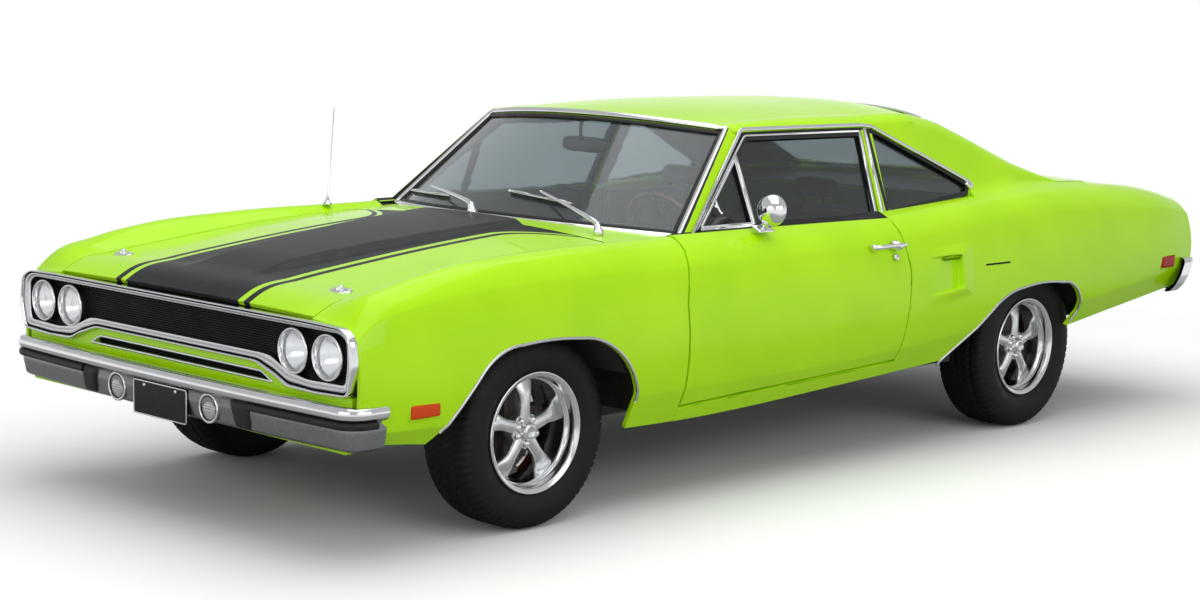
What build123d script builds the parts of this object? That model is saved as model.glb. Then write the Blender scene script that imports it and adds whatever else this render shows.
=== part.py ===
from build123d import *
import math
import os

# Two-door muscle car, millimetres. Front is -Y, the driver's side is +X, the road is Z = 0.

os.makedirs("parts", exist_ok=True)

# Main sizes
FRONT_AXLE_Y = -1640
REAR_AXLE_Y = 1260
FRONT_TRACK = 1516
REAR_TRACK = 1504
FRONT_TYRE_R = 330
REAR_TYRE_R = 345
BUMPER_FACE_Y = 2550

# Clearances and sheet
SHUT = 6           # shut line round the hood and the deck lid
DOOR_SHUT = 7      # shut line ahead of a door
DOOR_REAR_SHUT = 9 # behind a door
SILL_SHUT = 10     # below a door, which drops as it swings because its lower edge slopes
FRAME_GAP = 9      # round the window frame of a door
SKIN = 20          # outer panel with its folded edge
RUN = 0.05         # radial play of a shaft in its bore
FLOOR_Z = 316      # underside of the floor
SHEET = 14         # floor and inner panels
OVERRUN = 12       # how far a cutter passes the faces it cuts

# Outer body, half sections. top: hood or deck centre, seam: hood or deck edge, crest: top of the side,
# wide: widest point, crease: lower body line, low: bottom edge.
COLUMNS = "y top_z seam_x seam_z crest_x crest_z wide_x wide_z crease_x crease_z low_x low_z".split()
ROWS = [
    (-2465, 776, 712, 768, 862, 757, 944, 640, 926, 436, 900, 392),
    (-2400, 812, 716, 803, 846, 824, 953, 640, 943, 434, 905, 389),
    (-2240, 842, 722, 827, 828, 880, 960, 638, 952, 431, 908, 374),
    (-2020, 872, 727, 852, 820, 922, 966, 635, 957, 427, 910, 346),
    (-1640, 915, 738, 892, 816, 946, 970, 630, 960, 425, 908, 320),
    (-1000, 965, 752, 925, 808, 950, 970, 620, 955, 425, 903, 300),
    (0, 985, 752, 945, 804, 962, 968, 622, 950, 436, 898, 330),
    (800, 1010, 740, 985, 810, 998, 967, 660, 952, 485, 900, 368),
    (1350, 1034, 720, 1018, 815, 1026, 970, 692, 960, 520, 905, 405),
    (1900, 1028, 700, 1006, 803, 1014, 962, 705, 952, 568, 903, 470),
    (2300, 990, 690, 965, 785, 972, 944, 703, 935, 608, 892, 515),
    (2500, 950, 680, 925, 765, 932, 922, 695, 915, 620, 880, 535),
]
STATION_STEP = 180     # longest step between two sections of a loft
SHOULDER_DROP = 0.33   # share of the height from crest to widest point taken by the rounded shoulder
SHOULDER_IN = 0.41     # shoulder end inside the widest point, as a share of its drop

# Side glass lies in one leaning plane
BELT_X = 800
BELT_Z = 960
LEAN = 0.4246
PILLAR = 46
WINDOW_FRAME = 24
GLASS = 5

# Door, in side view (y, z)
DOOR_FRONT = [(-1006, 250), (-1006, 720), (-953, 912), (-945, 975)]
DOOR_REAR = [(245, 250), (245, 400), (295, 749), (272, 912), (262, 975)]
DOOR_LOW_FRONT_Z = 360
DOOR_LOW_REAR_Z = 400
DOOR_IN_X = 780
DASH_GAP = 44          # end of the dashboard inside the door
SILL_STEP = 9          # tread inside the outer edge of the sill, so that the opening door passes over it
SILL_STEP_X = 902
DOOR_RELIEF = 0.12     # rear edge leans forward inwards, so that it swings clear

# Side scoop and air slot of the quarter panel
SCOOP_Y = (372, 629)
SCOOP_Z = (640, 792)
SCOOP_X = 967
SCOOP_DEPTH = 12
SCOOP_LEAN = 12
VENT_Y = (787, 966)
VENT_Z = (733, 741)
VENT_X = 952

# Hood and deck lid
HOOD_FRONT_Y = -2456
HOOD_REAR_Y = -1170
HOOD_T = 24
DECK_FRONT_Y = 1720
DECK_REAR_Y = 2468
HOOD_PIN_X = 610
HOOD_PIN_Y = -2270

# Cabin
TUNNEL_HALF = 165
TUNNEL_TOP_Z = 500
SEAT_X = 400
SEAT_HALF = 230

# Steering
KINGPIN_IN = 23        # kingpin inside the wheel's middle plane
KINGPIN_X = FRONT_TRACK / 2 - KINGPIN_IN
KINGPIN_R = 16
WHEEL_CENTRE = (380, -494, 873)
COLUMN_TILT = 25
COLUMN_R = 19
COLUMN_CASE_R = 36

# Wheels
RIM_R = 190            # bead seat
RIM_LIP_R = 208
RIM_HALF = 100
HUB_BORE_R = 24
FRONT_TYRE_HALF = 117
REAR_TYRE_HALF = 121


def slopes(rows):
    """Slope of every column at every row, weighted by the distances to its neighbours."""
    steps = []
    for a, b in zip(rows, rows[1:]):
        steps.append([(q - p) / (b[0] - a[0]) for p, q in zip(a, b)])
    found = [steps[0]]
    for i in range(1, len(steps)):
        before, after = rows[i][0] - rows[i - 1][0], rows[i + 1][0] - rows[i][0]
        found.append([(p * after + q * before) / (before + after) for p, q in zip(steps[i - 1], steps[i])])
    return found + [steps[-1]]


def stations(rows):
    """The table's rows with smooth rows added between them. The first column is y."""
    tangents = slopes(rows)
    filled = []
    for i in range(len(rows) - 1):
        a, b, span = rows[i], rows[i + 1], rows[i + 1][0] - rows[i][0]
        count = math.ceil(span / STATION_STEP)
        for k in range(count):
            t = k / count
            into = 3 * t**2 - 2 * t**3
            weights = (1 - into, (t**3 - 2 * t**2 + t) * span, into, (t**3 - t**2) * span)
            parts = zip(a, tangents[i], b, tangents[i + 1])
            filled.append(tuple(sum(w * v for w, v in zip(weights, four)) for four in parts))
    return filled + [rows[-1]]


def loop(points):
    """Flat face inside a closed line of points in space."""
    return Face(Wire.make_polygon([Vector(*p) for p in points], close=True))


def prism_x(outline, x0, x1):
    face = loop([(x0, y, z) for y, z in outline])
    return Solid.extrude(face, Vector(x1 - x0, 0, 0))


def prism_y(outline, y0, y1):
    face = loop([(x, y0, z) for x, z in outline])
    return Solid.extrude(face, Vector(0, y1 - y0, 0))


def prism_z(outline, z0, z1):
    face = loop([(x, y, z0) for x, y in outline])
    return Solid.extrude(face, Vector(0, 0, z1 - z0))


def box(x0, x1, y0, y1, z0, z1):
    return Pos((x0 + x1) / 2, (y0 + y1) / 2, (z0 + z1) / 2) * Box(abs(x1 - x0), abs(y1 - y0), abs(z1 - z0))


def rod(a, b, radius):
    """Round bar from point a to point b."""
    a, b = Vector(*a), Vector(*b)
    disc = Plane(origin=a, z_dir=(b - a)) * Circle(radius)
    return extrude(disc, amount=(b - a).length)


def other_side(shape):
    return mirror(shape, about=Plane.YZ)


def both(shape):
    return [shape, other_side(shape)]


def solids(*shapes):
    """One compound of separate solids."""
    found = []
    for shape in shapes:
        if isinstance(shape, (list, tuple)):
            found += [s for item in shape for s in item.solids()]
        else:
            found += list(shape.solids())
    return Compound(children=found)


# ---------- outer body ----------

def side_wire(row, inset=0):
    """Closed half section from the hood seam round the shoulder and side to the bottom edge."""
    y = row["y"] + math.copysign(OVERRUN, row["y"]) * (inset > 0 and abs(row["y"]) > 2450)
    seam_x = row["seam_x"] - (OVERRUN if inset else 0)
    low_z = row["low_z"] - (OVERRUN if inset else 0)
    crest = (row["crest_x"] - 0.35 * inset, row["crest_z"] - inset)
    drop = SHOULDER_DROP * (row["crest_z"] - row["wide_z"])
    shoulder = (row["wide_x"] - SHOULDER_IN * drop - 0.9 * inset, row["crest_z"] - drop - 0.3 * inset)
    wide = (row["wide_x"] - inset, row["wide_z"])
    crease = (row["crease_x"] - inset, row["crease_z"])
    low = (row["low_x"] - inset, low_z)
    bend = ((crest[0] + shoulder[0]) / 2 + 0.10 * drop, (crest[1] + shoulder[1]) / 2 + 0.11 * drop)
    seam_z = row["seam_z"] - inset
    corners = [(seam_x, seam_z), crest, bend, shoulder, wide, crease, low, (seam_x, low_z)]
    p = [Vector(x, y, z) for x, z in corners]
    return Wire([
        Edge.make_line(p[0], p[1]),
        Edge.make_three_point_arc(p[1], p[2], p[3]),
        Edge.make_three_point_arc(p[3], p[4], p[5]),
        Edge.make_line(p[5], p[6]),
        Edge.make_line(p[6], p[7]),
        Edge.make_line(p[7], p[0]),
    ])


def top_wire(row, narrower, drop):
    """Closed section of a hood or deck lid: two arcs and two short ends."""
    x = row["seam_x"] - narrower
    y, top, seam = row["y"], row["top_z"], row["seam_z"]
    return Wire([
        Edge.make_three_point_arc((-x, y, seam), (0, y, top), (x, y, seam)),
        Edge.make_line((x, y, seam), (x, y, seam - drop)),
        Edge.make_three_point_arc((x, y, seam - drop), (0, y, top - drop), (-x, y, seam - drop)),
        Edge.make_line((-x, y, seam - drop), (-x, y, seam)),
    ])


def sections(rows):
    return [dict(zip(COLUMNS, row)) for row in stations(rows)]


def side_body():
    return Solid.make_loft([side_wire(row) for row in sections(ROWS)], ruled=True)


def side_hollow():
    return Solid.make_loft([side_wire(row, SKIN) for row in sections(ROWS)], ruled=True)


def top_body(low_y, high_y, narrower):
    """Hood or deck skin over the table's rows from low_y to high_y."""
    picked = [row for row in sections(ROWS) if low_y <= row["y"] <= high_y]
    return Solid.make_loft([top_wire(row, narrower, HOOD_T) for row in picked], ruled=True)


def arch_edges(points):
    """Wheel opening: straight legs and arcs. A middle point of three marks an arc."""
    edges = []
    for part in points:
        if len(part) == 3:
            edges.append(Edge.make_three_point_arc(*[(600, y, z) for y, z in part]))
        else:
            edges.append(Edge.make_line(*[(600, y, z) for y, z in part]))
    return edges


def wheel_opening(points):
    face = Face(Wire(arch_edges(points)))
    return Solid.extrude(face, Vector(500, 0, 0))


FRONT_ARCH = [
    [(-2290, 230), (-1990, 565)],
    [(-1990, 565), (-1912, 628), (-1800, 652)],
    [(-1800, 652), (-1660, 657), (-1540, 650)],
    [(-1540, 650), (-1345, 575), (-1258, 440)],
    [(-1258, 440), (-1258, 230)],
    [(-1258, 230), (-2290, 230)],
]
REAR_ARCH = [
    [(410, 230), (890, 571)],
    [(890, 571), (975, 607), (1060, 622)],
    [(1060, 622), (1210, 634), (1360, 625)],
    [(1360, 625), (1475, 585), (1528, 490)],
    [(1528, 490), (1400, 230)],
    [(1400, 230), (410, 230)],
]


def door_low_z(y, gap=0):
    front, rear = DOOR_FRONT[0][0], DOOR_REAR[0][0]
    share = (y - front) / (rear - front)
    return DOOR_LOW_FRONT_Z + share * (DOOR_LOW_REAR_Z - DOOR_LOW_FRONT_Z) - gap


def shifted(line, dy):
    return [(y + dy, z) for y, z in line]


def fender(body, hollow):
    line = shifted(DOOR_FRONT, -DOOR_SHUT / 2)
    outline = [(-2600, 200)] + line + [(line[-1][0], 1100), (-2600, 1100)]
    panel = (body - hollow) & prism_x(outline, 600, 1100)
    return panel - wheel_opening(FRONT_ARCH) - front_bar(FRONT_BACK)


def scoop():
    """Recess that deepens towards the back and ends in a step."""
    (front, rear), (low, high) = SCOOP_Y, SCOOP_Z
    outside, inside = SCOOP_X + 6, SCOOP_X - SCOOP_DEPTH
    plan = [(outside, front - 40), (outside, rear), (inside, rear - 14), (SCOOP_X - 4, front + 70)]
    return Solid.extrude(loop([(x, y, low) for x, y in plan]), Vector(-SCOOP_LEAN, 0, high - low))


def quarter(body, hollow):
    line = shifted(DOOR_REAR, SHUT / 2)
    outline = line + [(line[-1][0], 1100), (2600, 1100), (2600, 200)]
    panel = (body - hollow) & prism_x(outline, 600, 1100)
    notch = rear_bar(REAR_BACK) - tip_cut()
    return panel - wheel_opening(REAR_ARCH) - notch - scoop() - box(VENT_X, 1000, *VENT_Y, *VENT_Z)


def sill(body):
    front, rear = DOOR_FRONT[0][0] - DOOR_SHUT / 2, DOOR_REAR[0][0] + SHUT / 2
    top = [(y, door_low_z(y, SILL_SHUT)) for y in (front, rear)]
    outline = [(front, 200)] + top + [(rear, 200)]
    low = [(y, z - SILL_STEP if z > 200 else z) for y, z in outline]
    return body & (prism_x(outline, SILL_STEP_X, 1100) + prism_x(low, DOOR_IN_X, SILL_STEP_X))


def outer_x(z):
    """Skin beside the rear edge of the door at height z."""
    steps = [(400, 948), (620, 968), (749, 962), (857, 923), (912, 876), (975, 800)]
    for (z0, x0), (z1, x1) in zip(steps, steps[1:]):
        if z <= z1:
            return x0 + (x1 - x0) * (z - z0) / (z1 - z0)
    return steps[-1][1]


def door_prism(inset):
    """Side outline of the door. The rear face leans forward towards the inside."""
    front = shifted(DOOR_FRONT, DOOR_SHUT / 2 + inset)
    start_x = 1000
    back = SHUT / 2 - DOOR_REAR_SHUT - inset
    rear = [(y + back + DOOR_RELIEF * (start_x - outer_x(z)), z) for y, z in DOOR_REAR]
    top = 1100
    ends = (-2000, 1500)
    edge = [(front[0][0], 200)] + front[1:] + [(front[-1][0], top)]
    ahead = prism_x(edge + [(ends[1], top), (ends[1], 200)], 600, 1100)
    edge = [(ends[0], 200)] + rear + [(rear[-1][0], top), (ends[0], top)]
    behind = loop([(start_x, y, z) for y, z in edge])
    behind = Solid.extrude(behind, Vector(-400, -400 * DOOR_RELIEF, 0))
    edge = [(y, door_low_z(y) + inset) for y in ends]
    above = prism_x(edge + [(ends[1], top), (ends[0], top)], 600, 1100)
    return ahead & behind & above


# ---------- side windows ----------

def side_x(z):
    return BELT_X - LEAN * (z - BELT_Z)


def side_plate(outline, depth, start=0):
    """Plate lying in the leaning plane of the side glass, start below its face and depth thick."""
    norm = math.hypot(1, LEAN)
    nx, nz = 1 / norm, LEAN / norm
    face = loop([(side_x(z) - nx * start, y, z - nz * start) for y, z in outline])
    return Solid.extrude(face, Vector(-nx * depth, 0, -nz * depth))


A_LOW = (-822, 940)
A_HIGH = (-401, 1280)
FRAME_REAR = [(309, 1280), (254, 940)]
FRAME_BAR = 20


def window_frame():
    outer = side_plate([A_LOW, A_HIGH] + FRAME_REAR, WINDOW_FRAME)
    b = FRAME_BAR
    vent = [(-776, 962), (-494, 1190), (-494, 962)]
    glass = [(-478, 962), (-478, 1208), (-413, 1280 - b), (305 - b, 1280 - b), (262 - b, 962)]
    return outer - side_plate(vent, WINDOW_FRAME) - side_plate(glass, WINDOW_FRAME), [vent, glass]


def door(body, hollow):
    shell = body & door_prism(0)
    shell = shell & box(DOOR_IN_X, 1100, -1100, 500, 200, 1100)
    room = (hollow & door_prism(SHEET)) & box(DOOR_IN_X + SHEET, 1100, -1100, 500, 200, 930)
    slot = side_plate([(-780, 900), (-780, 975), (246, 975), (246, 900)], 12, 8)
    frame, panes = window_frame()
    return shell - room - slot + frame, panes


def door_glass(panes):
    vent, main = panes
    return solids(side_plate(vent, GLASS, 10), side_plate(main, GLASS, 10))


def door_trim(with_mirror):
    """Pull handle, lock and, on the driver's door, a round mirror on a foot."""
    handle = box(944, 960, 50, 215, 842, 862)
    handle = fillet(handle.edges().filter_by(Axis.X), 9)
    grip = [handle, rod((905, 70, 852), (946, 70, 852), 8), rod((905, 200, 852), (946, 200, 852), 8)]
    shape = grip[0] + grip[1] + grip[2] + rod((895, 250, 850), (934, 250, 850), 11)
    if not with_mirror:
        return shape
    head = Pos(898, -500, 1017) * Rot(90, 0, 0) * Cylinder(56, 50)
    head = fillet(head.edges(), 14)
    foot = rod((838, -500, 930), (885, -500, 1000), 9)
    return solids(shape, head + foot)


# ---------- roof, pillars and fixed glass ----------

# Roof sections: position, crown, rise of the shoulder line, drip edge
ROOF = [
    (-640, 1336, 1298, 1289), (-470, 1354, 1312, 1289), (-150, 1372, 1328, 1291), (300, 1377, 1332, 1291),
    (720, 1371, 1325, 1290), (900, 1360, 1284, 1240), (1070, 1338, 1234, 1184),
]
ROOF_T = 26


def roof_wire(y, top, shoulder, edge):
    """Closed roof section: a wide arc over the car and a short arc down to each drip edge."""
    def half(drop):
        bend = (642 - 0.7 * drop, (shoulder + edge) / 2 + 7 - 0.6 * drop)
        return (590 - 0.3 * drop, shoulder - drop), bend, (666 - drop, edge)

    def at(p, side=1):
        return Vector(side * p[0], y, p[1])
    a, b, c = half(0)
    d, e, f = half(ROOF_T)
    return Wire([
        Edge.make_three_point_arc(at(a, -1), Vector(0, y, top), at(a)),
        Edge.make_three_point_arc(at(a), at(b), at(c)),
        Edge.make_line(at(c), at(f)),
        Edge.make_three_point_arc(at(f), at(e), at(d)),
        Edge.make_three_point_arc(at(d), Vector(0, y, top - ROOF_T), at(d, -1)),
        Edge.make_three_point_arc(at(d, -1), at(e, -1), at(f, -1)),
        Edge.make_line(at(f, -1), at(c, -1)),
        Edge.make_three_point_arc(at(c, -1), at(b, -1), at(a, -1)),
    ])


def beyond_arc(a, mid, b, y_far):
    """Plan region between an arc across the car and the line y_far."""
    edges = [
        Edge.make_three_point_arc((a[0], a[1], 800), (mid[0], mid[1], 800), (b[0], b[1], 800)),
        Edge.make_line((b[0], b[1], 800), (b[0], y_far, 800)),
        Edge.make_line((b[0], y_far, 800), (a[0], y_far, 800)),
        Edge.make_line((a[0], y_far, 800), (a[0], a[1], 800)),
    ]
    return Solid.extrude(Face(Wire(edges)), Vector(0, 0, 700))


def curved_pane(low, high, thick):
    """Pane between two arcs across the car, each (half width, side y, side z, centre y, centre z)."""
    wires = []
    for half, side_y, side_z, mid_y, mid_z in (low, high):
        dy, dz = side_y - mid_y, side_z - mid_z
        length = math.hypot(dy, dz)
        sy, sz = thick * dy / length, thick * dz / length
        p = [(-half, side_y, side_z), (0, mid_y, mid_z), (half, side_y, side_z)]
        q = [(x, y + sy, z + sz) for x, y, z in p]
        wires.append(Wire([
            Edge.make_three_point_arc(*p),
            Edge.make_line(p[2], q[2]),
            Edge.make_three_point_arc(q[2], q[1], q[0]),
            Edge.make_line(q[0], p[0]),
        ]))
    return Solid.make_loft(wires, ruled=True)


def roof_side():
    outer = [
        (-893, 925), (-470, 1304), (300, 1308), (760, 1318), (945, 1262), (1213, 1160), (1395, 1092),
        (1600, 1028), (1600, 990), (905, 990), (905, 925),
    ]
    frame_top = A_HIGH[1] + FRAME_GAP
    opening = [
        (A_LOW[0] - FRAME_GAP - 14, 915), (A_LOW[0] - FRAME_GAP, 940), (A_HIGH[0] - FRAME_GAP, frame_top),
        (300, frame_top), (372, 1282), (905, 1054), (925, 1040), (905, 1014), (905, 915),
    ]
    post = [(272, 930), (336, 930), (380, 1292), (FRAME_REAR[0][0] + FRAME_GAP + 3, 1292)]
    frame = side_plate(outer, PILLAR) - side_plate(opening, PILLAR)
    return frame, side_plate(post, 34)


def roof():
    skin = Solid.make_loft([roof_wire(*row) for row in stations(ROOF)], ruled=True)
    skin -= beyond_arc((-700, -440), (0, -612), (700, -440), -900)
    skin -= beyond_arc((-700, 800), (0, 1060), (700, 800), 1500)
    sides = roof_side()
    shape = skin
    for piece in sides:
        shape = shape + piece + other_side(piece)
    foot = box(DOOR_IN_X - SHUT - 1, 900, -951, 271, 800, 962)
    return shape - foot - other_side(foot)


WINDSHIELD_LOW = (770, -862, 928, -1082, 948)
WINDSHIELD_HIGH = (634, -466, 1292, -606, 1324)
REAR_GLASS_LOW = (632, 1520, 1014, 1650, 1012)
REAR_GLASS_HIGH = (560, 876, 1290, 1046, 1328)


def windshield(shell, cowl_panel):
    return curved_pane(WINDSHIELD_LOW, WINDSHIELD_HIGH, 7) - shell - cowl_panel


def rear_window(shell, deck_panel):
    return curved_pane(REAR_GLASS_LOW, REAR_GLASS_HIGH, 7) - shell - deck_panel


def quarter_windows(shell, sides):
    outline = [(330, 955), (905, 1008), (930, 1040), (905, 1060), (372, 1288)]
    panes = both(side_plate(outline, GLASS, 12))
    return solids(*[pane - shell - sides[i] for i, pane in enumerate(panes)])


# ---------- hood, deck lid, cowl ----------

# Raised middle of the hood: y, half width, foot and top
BULGE = [
    (-2330, 215, 826, 834), (-2020, 255, 862, 888), (FRONT_AXLE_Y, 280, 905, 929), (HOOD_REAR_Y - 8, 300, 940, 961),
]


def bulge_wire(y, half, low, high):
    corners = [(-half, low), (50 - half, high), (half - 50, high), (half, low)]
    return Wire.make_polygon([Vector(x, y, z) for x, z in corners], close=True)


def hood():
    skin = top_body(-2500, -900, SHUT) & box(-900, 900, HOOD_FRONT_Y, HOOD_REAR_Y, 600, 1100)
    bulge = Solid.make_loft([bulge_wire(*row) for row in BULGE], ruled=True)
    pins = [rod((s * HOOD_PIN_X, HOOD_PIN_Y, 812), (s * HOOD_PIN_X, HOOD_PIN_Y, 846), 7) for s in (-1, 1)]
    plates = [rod((s * HOOD_PIN_X, HOOD_PIN_Y, 822), (s * HOOD_PIN_X, HOOD_PIN_Y, 836), 30) for s in (-1, 1)]
    shape = skin + bulge
    for piece in pins + plates:
        shape += piece
    return shape


def cowl(sides):
    panel = top_body(-1400, -600, 0) & box(-900, 900, HOOD_REAR_Y + SHUT, -800, 600, 1100)
    panel -= beyond_arc((-800, -852), (0, -1086), (800, -852), -400)
    foot = FLOOR_Z + SHEET
    wall = prism_y([(-760, foot), (-760, 900), (0, 940), (760, 900), (760, foot)], -1060, -1046)
    wall -= rod((0, -1100, 385), (0, -1000, 385), 104)
    shape = panel + wall
    for side in sides:
        shape -= side
    return shape


def decklid():
    return top_body(1400, 2600, SHUT) & box(-900, 900, DECK_FRONT_Y, DECK_REAR_Y, 600, 1100)


def upper_deck(sides, shell):
    """Panel between the rear window and the deck lid, with the parcel shelf below the glass."""
    panel = top_body(1200, 2000, 0) & box(-900, 900, 1540, DECK_FRONT_Y - SHUT, 600, 1100)
    panel -= beyond_arc((-800, 1494), (0, 1654), (800, 1494), 1000)
    shelf = box(-640, 640, 1010, 1560, 968, 968 + SHEET)
    shape = panel + shelf
    for cutter in list(sides) + [shell]:
        shape -= cutter
    return shape


# ---------- front ----------

GRILLE_OUTER = [
    (712, 764), (880, 759), (926, 733), (941, 648), (914, 548), (760, 541), (612, 543), (565, 566), (449, 602),
]
GRILLE_INNER = [
    (712, 738), (860, 738), (894, 718), (897, 645), (888, 582), (700, 577), (608, 590), (512, 629), (470, 632),
]
GRILLE_MESH = [
    (712, 743), (866, 743), (900, 720), (902, 640), (893, 577), (700, 572), (604, 585), (508, 624), (466, 627),
]
LAMPS = [(802, 658), (632, 658)]
LAMP_R = 64
BEZEL_R = 72
SLOT = [(455, 571), (515, 543)]
NOSE_Y = -2465


def ring_face(half, radius):
    points = half + [(-x, z) for x, z in reversed(half)]
    face = make_face(Polyline(*points, close=True))
    return fillet(face.vertices(), radius)


def upright(face, y0, y1):
    """Flat outline (x, z) given thickness from y0 to y1."""
    low, high = min(y0, y1), max(y0, y1)
    return extrude(Plane.XZ.offset(-high) * face, high - low)


def grille_surround():
    ring = upright(ring_face(GRILLE_OUTER, 16), -2492, NOSE_Y)
    ring -= upright(ring_face(GRILLE_INNER, 14), -2495, -2460)
    for x, z in LAMPS:
        for s in (-1, 1):
            ring -= rod((s * x, -2500, z), (s * x, -2400, z), BEZEL_R)
    return ring


def front_panel(sides):
    outline = [(886, 366), (900, 430), (908, 545), (760, 552), (618, 556), (570, 580), (462, 612)]
    lower = upright(ring_face(outline, 8), NOSE_Y, NOSE_Y + 20)
    lower -= upright(ring_face(SLOT, 6), NOSE_Y - 5, NOSE_Y + 25)
    for side in sides:
        lower -= side
    return lower - front_bar(FRONT_BACK)


def grille():
    mesh = upright(ring_face(GRILLE_MESH, 12), NOSE_Y, NOSE_Y + 12)
    for x, z in LAMPS:
        for s in (-1, 1):
            mesh -= rod((s * x, -2500, z), (s * x, -2400, z), BEZEL_R)
    air = upright(ring_face([(470, 576), (530, 538)], 4), NOSE_Y + 20, NOSE_Y + 30)
    return mesh, air


def headlamps():
    lenses, rings = [], []
    for x, z in LAMPS:
        for s in (-1, 1):
            profile = Wire([
                Edge.make_line((0, 0, 0), (LAMP_R, 0, 0)),
                Edge.make_line((LAMP_R, 0, 0), (LAMP_R, 0, 30)),
                Edge.make_three_point_arc((LAMP_R, 0, 30), (36, 0, 41), (8, 0, 45)),
                Edge.make_line((8, 0, 45), (0, 0, 45)),
                Edge.make_line((0, 0, 45), (0, 0, 0)),
            ])
            dome = revolve(Face(profile), Axis.Z, 360)
            lenses.append(Pos(s * x, -2432, z) * Rot(90, 0, 0) * dome)
            ring = Cylinder(BEZEL_R, 44) - Cylinder(LAMP_R, 50)
            ring = chamfer(ring.edges().sort_by(Axis.Z)[-2:], 2.5)
            rings.append(Pos(s * x, -2456, z) * Rot(90, 0, 0) * ring)
    return lenses, solids(*rings)


FRONT_BACK = [(-6, 374), (20, 386), (31, 440), (31, 474), (44, 484), (48, 500), (42, 516), (28, 522), (-6, 522)]
REAR_BACK = [(-6, 508), (20, 512), (38, 540), (48, 585), (46, 640), (34, 660), (-6, 664)]
BUMPER_SECTION = FRONT_BACK + [
    (-6, 508), (26, 508), (34, 498), (18, 486), (18, 440), (9, 396), (-6, 388),
]
REAR_SECTION = REAR_BACK + [
    (-6, 650), (26, 648), (32, 630), (34, 585), (25, 548), (10, 526), (-6, 522),
]
BAR_R = 13500          # plan radius of both bumpers
BAR_ANGLE = 3.75
BAR_CORNER = 40


def swept_bar(section, centre_y, radius, half_angle, corner, length):
    """Bar along a plan arc with rounded corners and straight returns. Section is (outward, z)."""
    def placed(x, y, nx, ny):
        plane = Plane(origin=(x, y, 0), x_dir=(nx, ny, 0), z_dir=(ny, -nx, 0))
        return plane * make_face(Polyline(*section, close=True))
    a = math.radians(half_angle)
    pivot_y = centre_y + radius
    end = (radius * math.sin(a), pivot_y - radius * math.cos(a))
    normal = (math.sin(a), -math.cos(a))
    turn = (end[0] - corner * normal[0], end[1] - corner * normal[1])
    middle = revolve(placed(0, centre_y, 0, -1), Axis((0, pivot_y, 0), (0, 0, 1)), half_angle)
    bend = revolve(placed(*end, *normal), Axis((turn[0], turn[1], 0), (0, 0, 1)), 90 - half_angle)
    last = placed(turn[0] + corner, turn[1], 1, 0)
    tail = extrude(last, amount=length, dir=(0, 1, 0))
    half = middle + bend + tail
    return half + other_side(half)


def front_bar(section, length=70):
    return swept_bar(section, 48 - BUMPER_FACE_Y, BAR_R, BAR_ANGLE, BAR_CORNER, length)


def front_bumper():
    bar = front_bar(BUMPER_SECTION)
    for s in (-1, 1):
        bar -= rod((s * 262, -2600, 428), (s * 262, -2400, 428), 40)
    return bar


def bumper_pads():
    """Rubber strip and upright pad on each half of the front bumper."""
    strip = [(31, 450), (45, 452), (45, 472), (31, 474)]
    bar = front_bar(strip, 30)
    bar &= solids(box(470, 1100, -2600, -2300, 400, 500), box(-1100, -470, -2600, -2300, 400, 500))
    pads = []
    for s in (-1, 1):
        outline = [(s * 398, 392), (s * 376, 474), (s * 470, 474), (s * 470, 392)]
        pads.append(prism_y(outline, -2545, -2500) - front_bar(FRONT_BACK) - bar)
    return [bar] + pads


def turn_lamps():
    return [rod((s * 262, -2518, 428), (s * 262, -2488, 428), 38) for s in (-1, 1)]


def number_plates():
    front = box(-152, 152, -2537, -2533, 356, 472)
    rear = box(-152, 152, 2496, 2500, 700, 820)
    for x in (-89, 89):
        front -= rod((x, -2560, 458), (x, -2500, 458), 3.5)
        rear -= rod((x, 2480, 804), (x, 2520, 804), 3.5)
    return front, rear


# ---------- rear ----------

def tail_panel(sides):
    last = dict(zip(COLUMNS, ROWS[-1]))
    half = [(last["seam_x"], last["seam_z"] - 2), (last["crest_x"], last["crest_z"] - 2)]
    half += [(905, 800), (915, 695), (902, 612), (868, 545)]
    points = half + [(-x, z) for x, z in reversed(half)]
    panel = prism_y(points, 2478, 2496)
    for side in sides:
        panel -= side
    for s in (-1, 1):
        panel -= box(s * 250, s * 780, 2488, 2500, 720, 850)
    return panel - rear_bar(REAR_BACK)


def tail_lamps():
    lamps = [box(s * 256, s * 774, 2488, 2508, 726, 844) for s in (-1, 1)]
    return [fillet(lamp.edges().filter_by(Axis.Y), 20) for lamp in lamps]


def rear_bar(section, length=200):
    return Rot(0, 0, 180) * swept_bar(section, 48 - BUMPER_FACE_Y, BAR_R, BAR_ANGLE, BAR_CORNER, length)


def tip_cut():
    """Wedge that slopes the top of the rear bumper's ends down towards the wheel."""
    return prism_x([(2150, 530), (2390, 664), (2390, 760), (2150, 760)], -1100, 1100)


def rear_bumper():
    bar = rear_bar(REAR_SECTION)
    return bar - tip_cut()


# ---------- inner body ----------

def floor_pan():
    t = SHEET
    low, kick, boot = FLOOR_Z, 506, 416
    profile = [
        (-1045, low), (820, low), (820, kick), (1720, kick), (1720, boot), (2476, boot),
        (2476, boot + t), (1720 + t, boot + t), (1720 + t, kick + t), (820 - t, kick + t),
        (820 - t, low + t), (-1045, low + t),
    ]
    pan = prism_x(profile, -DOOR_IN_X, DOOR_IN_X)
    for s in (-1, 1):
        pan -= box(s * 565, s * 900, 806, 1760, 340, 600)
    w, top = TUNNEL_HALF, TUNNEL_TOP_Z
    tunnel = box(-w, w, -1045, 820, low, top) - box(t - w, w - t, -1100, 820, low - 20, top - t)
    pan -= box(t - w, w - t, -1100, 820 - t, low - 20, top - t)
    return pan + tunnel - rod((0, 790, 352), (0, 850, 352), 60)


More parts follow.
